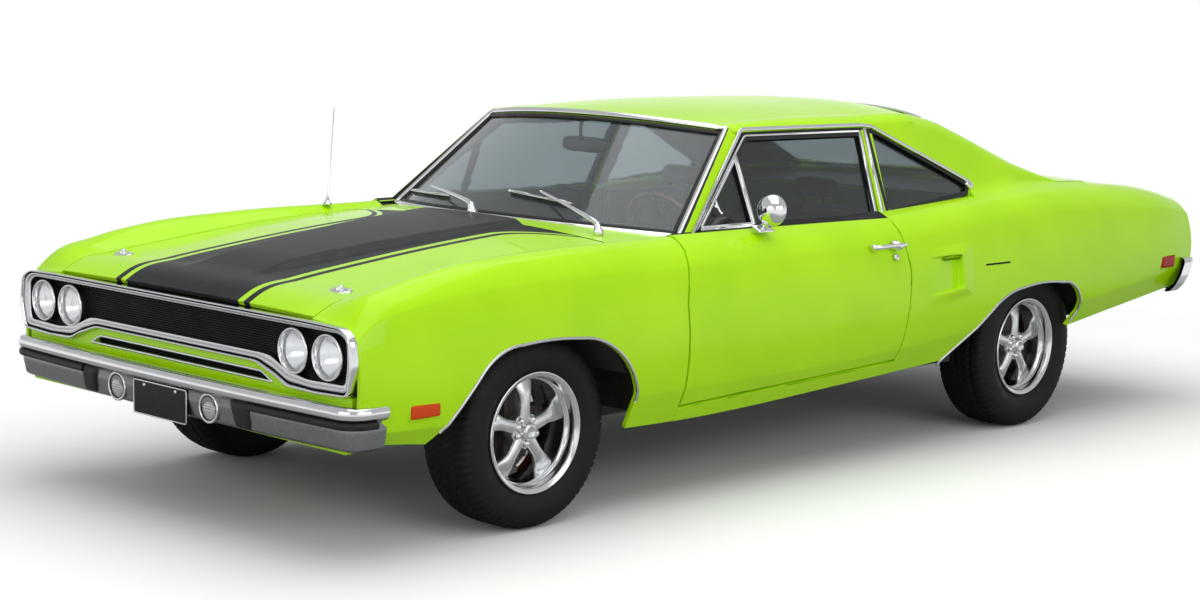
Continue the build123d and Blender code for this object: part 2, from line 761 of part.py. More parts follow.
def wheelhouse(axle_y, axle_z, inner_x, low_z, radius=420):
    """Half drum over a wheel with its inner wall."""
    def drum(r, x0, x1):
        return rod((x0, axle_y, axle_z), (x1, axle_y, axle_z), r)
    shell = drum(radius, inner_x, 912) - drum(radius - 12, inner_x + 12, 950)
    return shell & box(0, 1000, axle_y - 500, axle_y + 500, low_z, 1000)


def inner_panels(cutters):
    """Wheelhouses, door posts, rear side trim and the radiator support."""
    near = DOOR_IN_X - 20
    pieces = [
        wheelhouse(FRONT_AXLE_Y, FRONT_TYRE_R, 455, 500),
        wheelhouse(REAR_AXLE_Y, REAR_TYRE_R, 565, 506),
        prism_y([(near, 330), (near, 900), (880, 860), (925, 640), (915, 420), (880, 352)], -1046, -1030),
        prism_y([(near, 330), (near, 930), (868, 880), (925, 700), (915, 480), (880, 405)], 330, 344),
        box(740, 752, 344, 850, 400, 930),
    ]
    support = prism_y([(-700, 400), (-700, 760), (700, 760), (700, 400)], -2300, -2286)
    support -= box(-340, 340, -2310, -2280, 440, 740)
    shapes = []
    for piece in pieces:
        for side in both(piece):
            for cutter in cutters:
                side = side - cutter
            shapes.append(side)
    for cutter in cutters:
        support = support - cutter
    return shapes + [support]


def frame_rails():
    profile = [
        (-2440, 400), (-1180, 400), (-1060, 240), (806, 240), (960, 430), (1700, 430), (1760, 350), (2440, 350),
        (2440, 416), (1720, 416), (1720, 506), (834, 506), (820, 316), (-1046, 316), (-1100, 480), (-2440, 480),
    ]
    rail = prism_x(profile, 370, 450)
    members = [box(-450, 450, -1720, -1570, 240, 330), box(-450, 450, -260, -180, 240, 316)]
    pedestal = [box(s * 370, s * 450, -1720, -1570, 330, 400) for s in (-1, 1)]
    shape = rail + other_side(rail)
    for piece in members + pedestal:
        shape += piece
    shape -= rod((0, -400, 345), (0, 0, 345), 60)
    for s in (-1, 1):
        shape -= rod((s * 250, -1300, 255), (s * 250, 1000, 255), 34)
    return shape


def drivetrain():
    engine = box(-240, 240, -1960, -1300, 330, 800)
    engine = chamfer(engine.edges().filter_by(Axis.Y), 60)
    gearbox = rod((0, -1300, 385), (0, -800, 385), 90)
    shaft = rod((0, -800, 385), (0, REAR_AXLE_Y - 118, 347), 36)
    return engine, gearbox + shaft


def rear_axle(shaft):
    x_face = REAR_TRACK / 2
    tube = rod((-x_face + 60, REAR_AXLE_Y, REAR_TYRE_R), (x_face - 60, REAR_AXLE_Y, REAR_TYRE_R), 38)
    pot = Pos(0, REAR_AXLE_Y, REAR_TYRE_R) * Sphere(124)
    shape = tube + pot
    for s in (-1, 1):
        drum, stub = [
            rod((s * (x_face + a), REAR_AXLE_Y, REAR_TYRE_R), (s * (x_face + b), REAR_AXLE_Y, REAR_TYRE_R), r)
            for a, b, r in ((-92, -26, 140), (-30, 40, HUB_BORE_R))
        ]
        shape = shape + drum + stub
    return shape - shaft


def leaf_springs(axle):
    arc = Wire([
        Edge.make_three_point_arc((470, 690, 300), (470, REAR_AXLE_Y, 280), (470, 1930, 362)),
        Edge.make_line((470, 1930, 362), (470, 1930, 344)),
        Edge.make_three_point_arc((470, 1930, 344), (470, REAR_AXLE_Y, 254), (470, 690, 282)),
        Edge.make_line((470, 690, 282), (470, 690, 300)),
    ])
    leaf = Solid.extrude(Face(arc), Vector(60, 0, 0))
    seat = box(465, 535, REAR_AXLE_Y - 60, REAR_AXLE_Y + 60, 262, 330)
    shackle = [box(450, 530, 690, 730, 284, FLOOR_Z), box(450, 530, 1915, 1945, 350, 416)]
    shape = leaf + seat + shackle[0] + shackle[1]
    return [side - axle for side in both(shape)]


def exhaust():
    pipes = []
    for s in (-1, 1):
        pipe = rod((s * 250, -1280, 255), (s * 250, 2440, 255), 27)
        can = box(s * 155, s * 345, 180, 760, 200, 300)
        can = fillet(can.edges().filter_by(Axis.Y), 45)
        shape = pipe + can - rod((s * 250, 2200, 255), (s * 250, 2500, 255), 23)
        pipes.append(shape)
    return pipes


def fuel_tank():
    tank = box(-330, 330, 1790, 2330, 292, 416)
    return fillet(tank.edges().filter_by(Axis.Z), 60)


def dashboard(cowl_panel):
    profile = [(-985, 880), (-985, 720), (-760, 700), (-700, 740), (-700, 880), (-760, 925), (-950, 925)]
    half = DOOR_IN_X - DASH_GAP
    dash = prism_x(profile, -half, half)
    return dash - cowl_panel - rod(column_point(60), column_point(400), COLUMN_CASE_R)


def column_point(back):
    x, y, z = WHEEL_CENTRE
    tilt = math.radians(COLUMN_TILT)
    return (x, y - back * math.cos(tilt), z - back * math.sin(tilt))


def steering_column():
    case = rod(column_point(70), column_point(235), COLUMN_CASE_R)
    return case - rod(column_point(60), column_point(250), COLUMN_R + SHUT)


def steering_wheel():
    plane = Plane(origin=WHEEL_CENTRE, z_dir=Vector(*WHEEL_CENTRE) - Vector(*column_point(1)))
    rim = plane * Torus(185, 11)
    hub = plane * (Pos(0, 0, -14) * Cylinder(42, 28))
    shape = rim + hub + rod(column_point(10), column_point(280), COLUMN_R)
    for turn in (0, 120, 240):
        spoke = plane * (Rot(0, 0, turn - 90) * Pos(108, 0, -8) * Box(146, 22, 7))
        shape += spoke
    return shape


def seat_block(x0, x1, profile, radius):
    block = prism_x(profile, x0, x1)
    return fillet(block.edges(), radius)


def front_seats():
    seats = []
    for s in (-1, 1):
        x0, x1 = s * SEAT_X - SEAT_HALF, s * SEAT_X + SEAT_HALF
        base = box(x0 + 40, x1 - 40, -260, 180, FLOOR_Z + SHEET, 400)
        cushion = seat_block(x0, x1, [(-330, 400), (-340, 520), (-250, 556), (200, 510), (215, 400)], 35)
        back = seat_block(x0 + 10, x1 - 10, [(165, 520), (300, 960), (350, 985), (425, 960), (320, 500)], 35)
        rest = [(345, 980), (375, 1085), (455, 1080), (425, 960)]
        rest = seat_block(s * SEAT_X - 120, s * SEAT_X + 120, rest, 28)
        seats.append(base + cushion + back + rest)
    return seats


def rear_seat():
    cushion = seat_block(-620, 620, [(400, 344), (400, 500), (470, 535), (806, 480), (806, 344)], 30)
    back = seat_block(-560, 560, [(790, 530), (905, 930), (960, 950), (1010, 930), (960, 530)], 30)
    return cushion + back - box(-TUNNEL_HALF, TUNNEL_HALF, 300, 810, FLOOR_Z, TUNNEL_TOP_Z)


def wipers(cowl_panel):
    """Two arms with blades lying across the foot of the glass."""
    arms = []
    for x0, y0, z0, x1, y1, z1 in ((600, -1098, 938, 60, -1080, 990), (-20, -1138, 962, -560, -992, 982)):
        pivot = rod((x0, y0, z0 - 12), (x0, y0, z0 + 14), 14)
        arm = rod((x0, y0, z0 + 10), (x1, y1, z1), 6)
        arms.append(pivot + arm - cowl_panel)
    return arms


def aerial(fender_right):
    foot = Pos(-775, -1220, 955) * Cone(18, 10, 34)
    mast = rod((-775, -1220, 960), (-775, -1190, 1322), 3)
    return foot + mast - fender_right


def side_markers(sides):
    shapes = []
    for y0, y1, z0, z1, x in ((-2275, -2150, 463, 507, 968), (2190, 2310, 626, 678, 956)):
        lamp = fillet(box(900, x, y0, y1, z0, z1).edges().filter_by(Axis.X), 6)
        shapes += [lamp - sides[0], other_side(lamp) - sides[1]]
    return shapes


# ---------- wheels ----------

def turned(profile):
    """Solid of revolution about the X axis from (x, radius) pairs."""
    face = make_face(Polyline(*profile, close=True))
    return revolve(face, Axis.X, 360)


def tyre(radius, half):
    """Tubeless casing, open at the beads. The axle is the X axis."""
    t = 13

    def side(s, grow):
        r, w = radius - grow, half - grow
        flank = [(s * (RIM_HALF - 4), RIM_LIP_R + 3), (s * (w - 1), 262), (s * (w - 14), radius - 20 - grow)]
        return flank + [(s * (w - 35), r - 5.2), (s * (w - 60), r)]
    outer, inner = side(-1, 0), side(-1, t)
    o2, i2 = side(1, 0), side(1, t)

    def v(p):
        return Vector(p[0], p[1], 0)

    def band(a, b):
        return [
            Edge.make_three_point_arc(v(a[0]), v(a[1]), v(a[2])),
            Edge.make_three_point_arc(v(a[2]), v(a[3]), v(a[4])),
            Edge.make_line(v(a[4]), v(b[4])),
            Edge.make_three_point_arc(v(b[4]), v(b[3]), v(b[2])),
            Edge.make_three_point_arc(v(b[2]), v(b[1]), v(b[0])),
        ]
    wide, narrow = RIM_HALF - 4, RIM_HALF - 4 - t
    inner[0], i2[0] = (-narrow, outer[0][1]), (narrow, outer[0][1])

    def bead(points):
        return [Edge.make_line(v(a), v(b)) for a, b in zip(points, points[1:])]
    edges = band(outer, o2) + bead([o2[0], (wide, RIM_R), (narrow, RIM_R), i2[0]])
    edges += band(i2, inner) + bead([inner[0], (-narrow, RIM_R), (-wide, RIM_R), outer[0]])
    return revolve(Face(Wire(edges)), Axis.X, 360)


SPOKES = 5


def rim():
    """Cast five-spoke wheel. +X is the outside, X = 0 the middle of the tyre."""
    w, lip, seat, drop = RIM_HALF, RIM_LIP_R, RIM_R, 177
    barrel = turned([
        (-w - 6, lip), (-w + 4, lip), (-w + 4, seat), (-w + 30, seat), (-w + 44, drop), (20, drop), (40, seat),
        (w - 4, seat), (w - 4, lip), (w + 6, lip), (w + 8, lip - 6), (w + 2, seat - 4), (40, seat - 9),
        (24, drop - 9), (-w + 40, drop - 9), (-w + 26, seat - 9), (-w - 2, seat - 5), (-w - 8, lip - 5),
    ])
    foot = [(34, seat - 14), (26, drop - 3), (20, drop - 7), (12, drop - 7)]
    disc = turned([(8, 40), (30, 40), (34, 100)] + foot + [(8, 100)])
    window = make_face(Polyline((88, -30), (156, -66), (160, 0), (156, 66), (88, 30), close=True))
    window = fillet(window.vertices(), 9)
    for i in range(SPOKES):
        cut = extrude(Plane.YZ.offset(-20) * (Rot(0, 0, 90 + (i + 0.5) * 360 / SPOKES) * window), 90)
        disc -= cut
    hub = rod((3, 0, 0), (52, 0, 0), 58)
    cap = fillet(rod((50, 0, 0), (84, 0, 0), 30).edges().sort_by(Axis.X)[-1], 10)
    shape = barrel + disc + hub + cap
    for i in range(SPOKES):
        a = math.radians(i * 360 / SPOKES + 36)
        y, z = 44 * math.cos(a), 44 * math.sin(a)
        shape += rod((50, y, z), (64, y, z), 10)
    bore = rod((-20, 0, 0), (44, 0, 0), HUB_BORE_R + RUN)
    return shape - bore


def at_corner(shape, side, y, z, track):
    """A wheel part moved to its axle. side is +1 on the left and -1 on the right."""
    turn = Rot(0, 0, 0) if side > 0 else Rot(0, 0, 180)
    return Pos(side * track / 2, y, z) * turn * shape


def knuckle():
    """Left upright with its kingpin, brake disc and wheel spindle."""
    y, z = FRONT_AXLE_Y, FRONT_TYRE_R
    pin = rod((KINGPIN_X, y, 172), (KINGPIN_X, y, 488), KINGPIN_R)
    post = box(KINGPIN_X - 22, KINGPIN_X + 8, y - 34, y + 34, 205, 455)
    disc = rod((KINGPIN_X - 41, y, z), (KINGPIN_X - 21, y, z), 124)
    caliper = box(KINGPIN_X - 55, KINGPIN_X - 5, y + 50, y + 125, z - 60, z + 60)
    spindle = rod((KINGPIN_X - 35, y, z), (FRONT_TRACK / 2 + 40, y, z), HUB_BORE_R)
    arm = box(KINGPIN_X - 60, KINGPIN_X - 20, y + 20, y + 95, 215, 240)
    return pin + post + disc + caliper + spindle + arm


def front_arms():
    y = FRONT_AXLE_Y
    arms = []
    for s in (-1, 1):
        for z0, z1, inner in ((176, 198, 400), (462, 484, 450)):
            near = [(inner, 80), (KINGPIN_X - 135, 26), (KINGPIN_X - 20, 22), (KINGPIN_X + 20, 18)]
            outline = [(s * x, y + w) for x, w in near] + [(s * x, y - w) for x, w in reversed(near)]
            arm = prism_z(outline, z0, z1)
            arms.append(arm - rod((s * KINGPIN_X, y, z0 - 5), (s * KINGPIN_X, y, z1 + 5), KINGPIN_R + RUN))
        arms.append(box(s * 400, s * 450, y - 60, y + 60, 198, 240))
    return arms


def save(name, shape):
    export_step(shape, f"parts/{name}.step")


def main():
    body, hollow = side_body(), side_hollow()
    fenders = both(fender(body, hollow))
    quarters = both(quarter(body, hollow))
    sills = both(sill(body))
    left_door, panes = door(body, hollow)
    doors = both(left_door)
    shell = roof() - quarters[0] - quarters[1] - fenders[0] - fenders[1]
    rails = frame_rails()
    cowl_panel = cowl(fenders + [shell, rails])
    deck_panel = upper_deck(quarters, shell)
    engine, shaft = drivetrain()
    axle = rear_axle(shaft)
    mesh, air = grille()
    lenses, bezels = headlamps()
    front_plate, rear_plate = number_plates()
    bumper = front_bumper()

    save("fender_left", fenders[0])
    save("fender_right", fenders[1])
    save("quarter_left", quarters[0])
    save("quarter_right", quarters[1])
    save("sills", solids(sills))
    save("roof", shell)
    save("cowl", cowl_panel)
    save("upper_deck", deck_panel)
    save("tail_panel", tail_panel(quarters))
    save("front_panel", front_panel(fenders))
    save("hood", hood())
    save("decklid", decklid())
    save("door_left", doors[0])
    save("door_right", doors[1])
    glass = door_glass(panes)
    save("door_left_glass", glass)
    save("door_right_glass", other_side(glass))
    save("door_left_trim", door_trim(True) - doors[0])
    save("door_right_trim", other_side(door_trim(False)) - doors[1])
    save("windshield", windshield(shell, cowl_panel))
    save("rear_window", rear_window(shell, deck_panel))
    save("quarter_windows", quarter_windows(shell, quarters))
    save("grille", solids(mesh, air))
    save("grille_surround", grille_surround())
    save("front_lamps", solids(lenses, turn_lamps()))
    save("lamp_bezels", bezels)
    save("front_bumper", bumper)
    save("bumper_pads", solids(bumper_pads()))
    save("number_plates", solids(front_plate, rear_plate))
    save("rear_bumper", rear_bumper())
    save("tail_lamps", solids(tail_lamps()))
    save("side_markers", solids(side_markers([fenders[0] + quarters[0], fenders[1] + quarters[1]])))
    save("wipers", solids(wipers(cowl_panel)))
    save("aerial", aerial(fenders[1]))
    save("floor_pan", floor_pan())
    save("inner_panels", solids(inner_panels(fenders + quarters + sills + [cowl_panel, rails, shell])))
    save("frame_rails", rails)
    save("engine", engine)
    save("driveshaft", shaft)
    save("rear_axle", axle)
    save("leaf_springs", solids(leaf_springs(axle)))
    save("exhaust", solids(exhaust()))
    save("fuel_tank", fuel_tank())
    save("front_arms", solids(front_arms()))
    save("dashboard", dashboard(cowl_panel))
    save("steering_column", steering_column())
    save("steering_wheel", steering_wheel())
    save("front_seats", solids(front_seats()))
    save("rear_seat", rear_seat())
    left_knuckle = knuckle()
    save("knuckle_left", left_knuckle)
    save("knuckle_right", other_side(left_knuckle))
    cast = rim()
    casing = {"front": tyre(FRONT_TYRE_R, FRONT_TYRE_HALF), "rear": tyre(REAR_TYRE_R, REAR_TYRE_HALF)}
    places = [
        ("front", FRONT_AXLE_Y, FRONT_TYRE_R, FRONT_TRACK),
        ("rear", REAR_AXLE_Y, REAR_TYRE_R, REAR_TRACK),
    ]
    for end, y, z, track in places:
        for side, sign in (("left", 1), ("right", -1)):
            save(f"rim_{end}_{side}", at_corner(cast, sign, y, z, track))
            save(f"tyre_{end}_{side}", at_corner(casing[end], sign, y, z, track))


main()
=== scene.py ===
import math

import bpy
import numpy as np
from mathutils import Matrix, Vector


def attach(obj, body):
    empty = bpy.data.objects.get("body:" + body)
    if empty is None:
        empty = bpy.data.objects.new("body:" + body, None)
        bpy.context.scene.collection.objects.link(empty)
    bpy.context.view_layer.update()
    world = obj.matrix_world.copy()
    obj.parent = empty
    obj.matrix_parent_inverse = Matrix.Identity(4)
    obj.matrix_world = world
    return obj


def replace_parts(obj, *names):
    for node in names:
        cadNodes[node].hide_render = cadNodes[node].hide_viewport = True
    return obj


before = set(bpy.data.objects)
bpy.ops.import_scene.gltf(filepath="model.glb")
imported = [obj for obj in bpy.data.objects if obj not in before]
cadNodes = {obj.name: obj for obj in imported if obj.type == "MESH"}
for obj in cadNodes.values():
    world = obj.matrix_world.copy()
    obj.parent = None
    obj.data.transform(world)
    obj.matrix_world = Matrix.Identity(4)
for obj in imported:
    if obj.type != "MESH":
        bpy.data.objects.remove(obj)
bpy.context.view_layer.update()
print("stage: frame loaded,", len(cadNodes), "nodes")

mm = 0.001
skinDepth = 0.016


def feed(node, sockets):
    # a socket given as value is linked to the input, anything else becomes the input's own value
    for key, value in sockets.items():
        if isinstance(value, bpy.types.NodeSocket):
            node.id_data.links.new(value, node.inputs[key])
        else:
            node.inputs[key].default_value = value
    return node


def nodeIn(tree, kind, sockets=None, **settings):
    node = tree.nodes.new(kind)
    for key, value in settings.items():
        setattr(node, key, value)
    return feed(node, sockets or {})


def startMaterial(name):
    material = bpy.data.materials.new(name)
    material.use_nodes = True
    tree = material.node_tree
    place = nodeIn(tree, "ShaderNodeTexCoord").outputs["Object"]
    return material, tree, tree.nodes["Principled BSDF"], place


def axesOf(tree, place):
    return nodeIn(tree, "ShaderNodeSeparateXYZ", {0: place}).outputs


def noiseOf(tree, place, scale, detail=4.0, stretch=None):
    if stretch:
        place = nodeIn(tree, "ShaderNodeMapping", {"Scale": stretch, "Vector": place}).outputs["Vector"]
    return nodeIn(tree, "ShaderNodeTexNoise", {"Scale": scale, "Detail": detail,
                                               "Vector": place}).outputs["Fac"]


def rangeOf(tree, value, low, high, fromLow=0.3, fromHigh=0.7):
    limits = {"From Min": fromLow, "From Max": fromHigh, "To Min": low, "To Max": high}
    return nodeIn(tree, "ShaderNodeMapRange", {"Value": value, **limits}).outputs["Result"]


def mixColours(tree, share, *colours):
    first, second = (c if isinstance(c, bpy.types.NodeSocket) else (*c[:3], 1) for c in colours)
    return nodeIn(tree, "ShaderNodeMix", {0: share, 6: first, 7: second}, data_type="RGBA").outputs[2]


def driftOf(tree, noise, first, second):
    return mixColours(tree, rangeOf(tree, noise, 0, 1), first, second)


def mathOf(tree, operation, *values):
    return nodeIn(tree, "ShaderNodeMath", dict(enumerate(values)), operation=operation).outputs[0]


def addBump(tree, shader, height, strength, distance):
    bump = nodeIn(tree, "ShaderNodeBump", {"Strength": strength, "Distance": distance, "Height": height})
    feed(shader, {"Normal": bump.outputs["Normal"]})


def finish(name, colour, second, rough, roughSpread, metallic=0.0, noiseScale=40.0, stretch=None,
           bumpScale=200.0, bumpStrength=0.2, bumpDistance=0.0004, coat=0.0):
    # base colour drifts to a second colour, roughness drifts by a spread, and a fine bump lies over both
    material, tree, shader, place = startMaterial(name)
    drift = noiseOf(tree, place, noiseScale, 5.0, stretch)
    wear = noiseOf(tree, place, noiseScale * 0.4, 6.0, stretch)
    feed(shader, {"Base Color": driftOf(tree, drift, colour, second),
                  "Roughness": rangeOf(tree, wear, rough - roughSpread, rough + roughSpread),
                  "Metallic": metallic, "Coat Weight": coat, "Coat Roughness": 0.04})
    addBump(tree, shader, noiseOf(tree, place, bumpScale, 3.0, stretch), bumpStrength, bumpDistance)
    return material


paintLook = {
    "lime": (0.51, 0.93, 0.003),
    "deepLime": (0.45, 0.86, 0.002),
    "stripeBlack": (0.011, 0.012, 0.014),
    "stripeDust": (0.02, 0.021, 0.024),
    "liningBlack": (0.016, 0.016, 0.017),
    "frameBlack": (0.014, 0.014, 0.015),
    "rough": 0.26,
    "coatRough": 0.02,
    "stripeRough": 0.42,
    "stripeCoat": 0.10,
    "liningRough": 0.5,
    "stripeHalf": 0.317,
    "pinInner": 0.347,
    "pinOuter": 0.379,
    "curlStart": -1.38,
    "curlGain": 5.2,
    "coat": 0.32,
    "sideLean": (0.4246, 1.2076),
    "revealDepth": 0.022,
    "frameFrom": 0.947,
    "innerSheet": 0.800,
}


def bodyPaint(name, striped=False, lined=False):
    # glossy enamel under a clear coat; the striped one is matt black where |x| falls inside the stripe bands,
    # the lined one is black vinyl on the faces turned to the cabin
    look = paintLook
    material, tree, shader, place = startMaterial(name)
    colour = driftOf(tree, noiseOf(tree, place, 3.0, 2.0), look["lime"], look["deepLime"])
    feed(shader, {"Roughness": look["rough"], "Specular IOR Level": 0.12, "Coat Weight": look["coat"],
                  "Coat Roughness": look["coatRough"]})
    addBump(tree, shader, noiseOf(tree, place, 260.0, 1.0), 0.035, 0.0004)

    def covered(share, cover, coat, rough):
        feed(shader, {"Coat Weight": rangeOf(tree, share, look["coat"], coat, 0, 1),
                      "Roughness": rangeOf(tree, share, look["rough"], rough, 0, 1)})
        return mixColours(tree, share, colour, cover)

    if striped:
        axes = axesOf(tree, place)
        # the bands run straight and swing outwards as the square of the distance past curlStart
        past = mathOf(tree, "MAXIMUM", mathOf(tree, "SUBTRACT", axes[1], look["curlStart"]), 0.0)
        swing = mathOf(tree, "MULTIPLY", mathOf(tree, "MULTIPLY", past, past), look["curlGain"])
        bent = mathOf(tree, "SUBTRACT", mathOf(tree, "ABSOLUTE", axes[0]), swing)
        main = mathOf(tree, "LESS_THAN", bent, look["stripeHalf"])
        pin = mathOf(tree, "MULTIPLY", mathOf(tree, "GREATER_THAN", bent, look["pinInner"]),
                     mathOf(tree, "LESS_THAN", bent, look["pinOuter"]))
        black = driftOf(tree, noiseOf(tree, place, 22.0, 5.0), look["stripeBlack"], look["stripeDust"])
        colour = covered(mathOf(tree, "MAXIMUM", main, pin), black, look["stripeCoat"], look["stripeRough"])
    if lined:
        colour = covered(cabinSide(tree, place), look["liningBlack"], 0.0, look["liningRough"])
    feed(shader, {"Base Color": colour})
    return material


def cabinSide(tree, place):
    # 1 on faces of the roof sides and pillars that look inwards or down, and on reveals deeper than
    # revealDepth
    slope, outer = paintLook["sideLean"]
    axes = axesOf(tree, place)
    turned = axesOf(tree, nodeIn(tree, "ShaderNodeNewGeometry").outputs["True Normal"])
    inward = mathOf(tree, "MULTIPLY", mathOf(tree, "SIGN", axes[0]), turned[0])
    inward = mathOf(tree, "LESS_THAN", inward, -0.2)
    under = mathOf(tree, "LESS_THAN", turned[2], -0.5)
    lean = mathOf(tree, "ADD", mathOf(tree, "ABSOLUTE", axes[0]), mathOf(tree, "MULTIPLY", axes[2], slope))
    deep = mathOf(tree, "LESS_THAN", lean, outer - paintLook["revealDepth"])
    for value, test, limit in ((turned[1], "GREATER_THAN", -0.3), (axes[1], "LESS_THAN", 0.9),
                               (axes[2], "LESS_THAN", 1.28)):
        deep = mathOf(tree, "MULTIPLY", deep, mathOf(tree, test, value, limit))
    return mathOf(tree, "MAXIMUM", mathOf(tree, "MAXIMUM", inward, under), deep)


def doorPaint(name):
    # lime below the glass and on the outside, black on the window frame and the inner sheet
    look = paintLook
    material = bodyPaint(name)
    tree = material.node_tree
    shader = tree.nodes["Principled BSDF"]
    axes = axesOf(tree, nodeIn(tree, "ShaderNodeTexCoord").outputs["Object"])
    black = mathOf(tree, "MAXIMUM", mathOf(tree, "GREATER_THAN", axes[2], look["frameFrom"]),
                   mathOf(tree, "LESS_THAN", mathOf(tree, "ABSOLUTE", axes[0]), look["innerSheet"]))
    lime = shader.inputs["Base Color"].links[0].from_socket
    feed(shader, {"Base Color": mixColours(tree, black, lime, look["frameBlack"]),
                  "Coat Weight": rangeOf(tree, black, look["coat"], 0.0, 0, 1)})
    return material


def chromeFinish(name="chromePlate", tint=(0.80, 0.81, 0.83), rough=0.07):
    material, tree, shader, place = startMaterial(name)
    feed(shader, {"Roughness": rangeOf(tree, noiseOf(tree, place, 60.0, 6.0), rough * 0.6, rough * 1.7),
                  "Base Color": driftOf(tree, noiseOf(tree, place, 9.0), tint, [c * 0.93 for c in tint]),
                  "Metallic": 1.0})
    addBump(tree, shader, noiseOf(tree, place, 420.0, 2.0), 0.02, 0.0003)
    return material


def glassFinish(name, tint, clear=0.9, rough=0.01, coat=0.0):
    material, tree, shader, place = startMaterial(name)
    smear = noiseOf(tree, place, 7.0, 4.0)
    feed(shader, {"Roughness": rangeOf(tree, smear, rough, rough + 0.03),
                  "Base Color": driftOf(tree, smear, tint, [c * 0.96 for c in tint]),
                  "Transmission Weight": clear, "IOR": 1.45, "Coat Weight": coat})
    return material


def lensFinish(name, colour, rib=520.0):
    # moulded plastic lens: clear coat over colour with fine square ribs behind it
    material, tree, shader, place = startMaterial(name)
    ribs = nodeIn(tree, "ShaderNodeTexChecker", {"Scale": rib, "Vector": place}).outputs["Fac"]
    feed(shader, {"Base Color": mixColours(tree, ribs, colour, [c * 0.55 for c in colour]),
                  "Roughness": rangeOf(tree, noiseOf(tree, place, 50.0), 0.12, 0.25),
                  "Specular IOR Level": 0.1, "Coat Weight": 0.25})
    addBump(tree, shader, ribs, 0.25, 0.0008)
    return material


def vinylFinish(name, colour, second):
    # grained vinyl: cells of a Voronoi pattern with softened edges, worn smooth in patches
    material, tree, shader, place = startMaterial(name)
    cells = nodeIn(tree, "ShaderNodeTexVoronoi", {"Vector": place}, feature="DISTANCE_TO_EDGE")
    feed(cells, {"Scale": 420.0})
    grain = mathOf(tree, "MINIMUM", mathOf(tree, "MULTIPLY", cells.outputs["Distance"], 6.0), 1.0)
    feed(shader, {"Base Color": driftOf(tree, noiseOf(tree, place, 14.0, 5.0), colour, second),
                  "Roughness": rangeOf(tree, noiseOf(tree, place, 30.0, 6.0), 0.36, 0.55)})
    addBump(tree, shader, grain, 0.35, 0.0006)
    return material


def rubberFinish(name, colour, second, rough=0.62):
    material, tree, shader, place = startMaterial(name)
    dust = noiseOf(tree, place, 26.0, 6.0)
    feed(shader, {"Base Color": mixColours(tree, rangeOf(tree, dust, 0, 1, 0.4, 0.75), colour, second),
                  "Roughness": rangeOf(tree, dust, rough - 0.1, rough + 0.12), "Specular IOR Level": 0.28})
    addBump(tree, shader, noiseOf(tree, place, 900.0, 3.0), 0.25, 0.0003)
    return material


def woodFinish(name):
    material, tree, shader, place = startMaterial(name)
    grain = noiseOf(tree, place, 55.0, 6.0, (1.0, 9.0, 1.0))
    feed(shader, {"Base Color": driftOf(tree, grain, (0.24, 0.045, 0.018), (0.09, 0.015, 0.008)),
                  "Roughness": 0.3, "Coat Weight": 0.8})
    addBump(tree, shader, grain, 0.1, 0.0003)
    return material


limePaint = bodyPaint("limePaint")
stripedPaint = bodyPaint("stripedPaint", striped=True)
linedPaint = bodyPaint("linedPaint", lined=True)
framePaint = doorPaint("framePaint")
chrome = chromeFinish()
satinChrome = chromeFinish("satinChrome", (0.60, 0.61, 0.63), 0.22)
# rougher chrome whose dark base colour is a painted reflection of dark ground, used on the front bumper's
# apron
roughChromePaintedReflection = chromeFinish("roughChromePaintedReflection", (0.30, 0.305, 0.315), 0.24)
castAlloy = finish("castAlloy", (0.72, 0.73, 0.74), (0.62, 0.63, 0.65), 0.27, 0.08, 0.95, 30.0, None, 500.0,
                   0.12, 0.0004)
polishedAlloy = finish("polishedAlloy", (0.80, 0.81, 0.82), (0.70, 0.71, 0.73), 0.13, 0.05, 1.0, 20.0, None,
                       600.0, 0.03, 0.0002)
tintedGlass = glassFinish("tintedGlass", (0.66, 0.735, 0.775), 0.97)
sideGlass = glassFinish("sideGlass", (0.27, 0.315, 0.32), 0.97)
lampGlass = glassFinish("lampGlass", (0.96, 0.97, 0.98), 0.95)
redLens = lensFinish("redLens", (0.50, 0.004, 0.003))
amberLens = lensFinish("amberLens", (0.90, 0.085, 0.003))
tyreRubber = rubberFinish("tyreRubber", (0.006, 0.006, 0.0064), (0.012, 0.0117, 0.0115))
trimRubber = rubberFinish("trimRubber", (0.012, 0.012, 0.013), (0.025, 0.025, 0.026), 0.45)
grilleBlack = finish("grilleBlack", (0.004, 0.004, 0.0045), (0.008, 0.008, 0.009), 0.50, 0.08, 0.0, 30.0)
platePaint = finish("platePaint", (0.008, 0.008, 0.009), (0.014, 0.014, 0.016), 0.3, 0.06, 0.0, 18.0, None,
                    60.0, 0.06, 0.0006, 0.1)
for material in (grilleBlack, platePaint):
    feed(material.node_tree.nodes["Principled BSDF"], {"Specular IOR Level": 0.15})
underbody = finish("underbody", (0.02, 0.02, 0.021), (0.05, 0.046, 0.04), 0.7, 0.1, 0.0, 9.0, None, 260.0, 0.5,
                   0.0012)
castIron = finish("castIron", (0.10, 0.10, 0.105), (0.16, 0.13, 0.11), 0.6, 0.12, 0.7, 18.0, None, 300.0, 0.5,
                  0.0010)
engineEnamel = finish("engineEnamel", (0.42, 0.06, 0.01), (0.30, 0.04, 0.01), 0.45, 0.1, 0.0, 8.0, None, 200.0,
                      0.3, 0.0008)
bareSteel = finish("bareSteel", (0.38, 0.38, 0.39), (0.24, 0.22, 0.2), 0.42, 0.12, 0.9, 25.0, (1, 0.1, 1),
                   300.0, 0.2, 0.0005)
tankSteel = finish("tankSteel", (0.36, 0.37, 0.38), (0.25, 0.25, 0.25), 0.5, 0.12, 0.8, 6.0, None, 120.0, 0.3,
                   0.0008)
blackVinyl = vinylFinish("blackVinyl", (0.018, 0.018, 0.019), (0.030, 0.029, 0.028))
dashVinyl = vinylFinish("dashVinyl", (0.014, 0.014, 0.015), (0.022, 0.022, 0.022))
steeringWood = woodFinish("steeringWood")

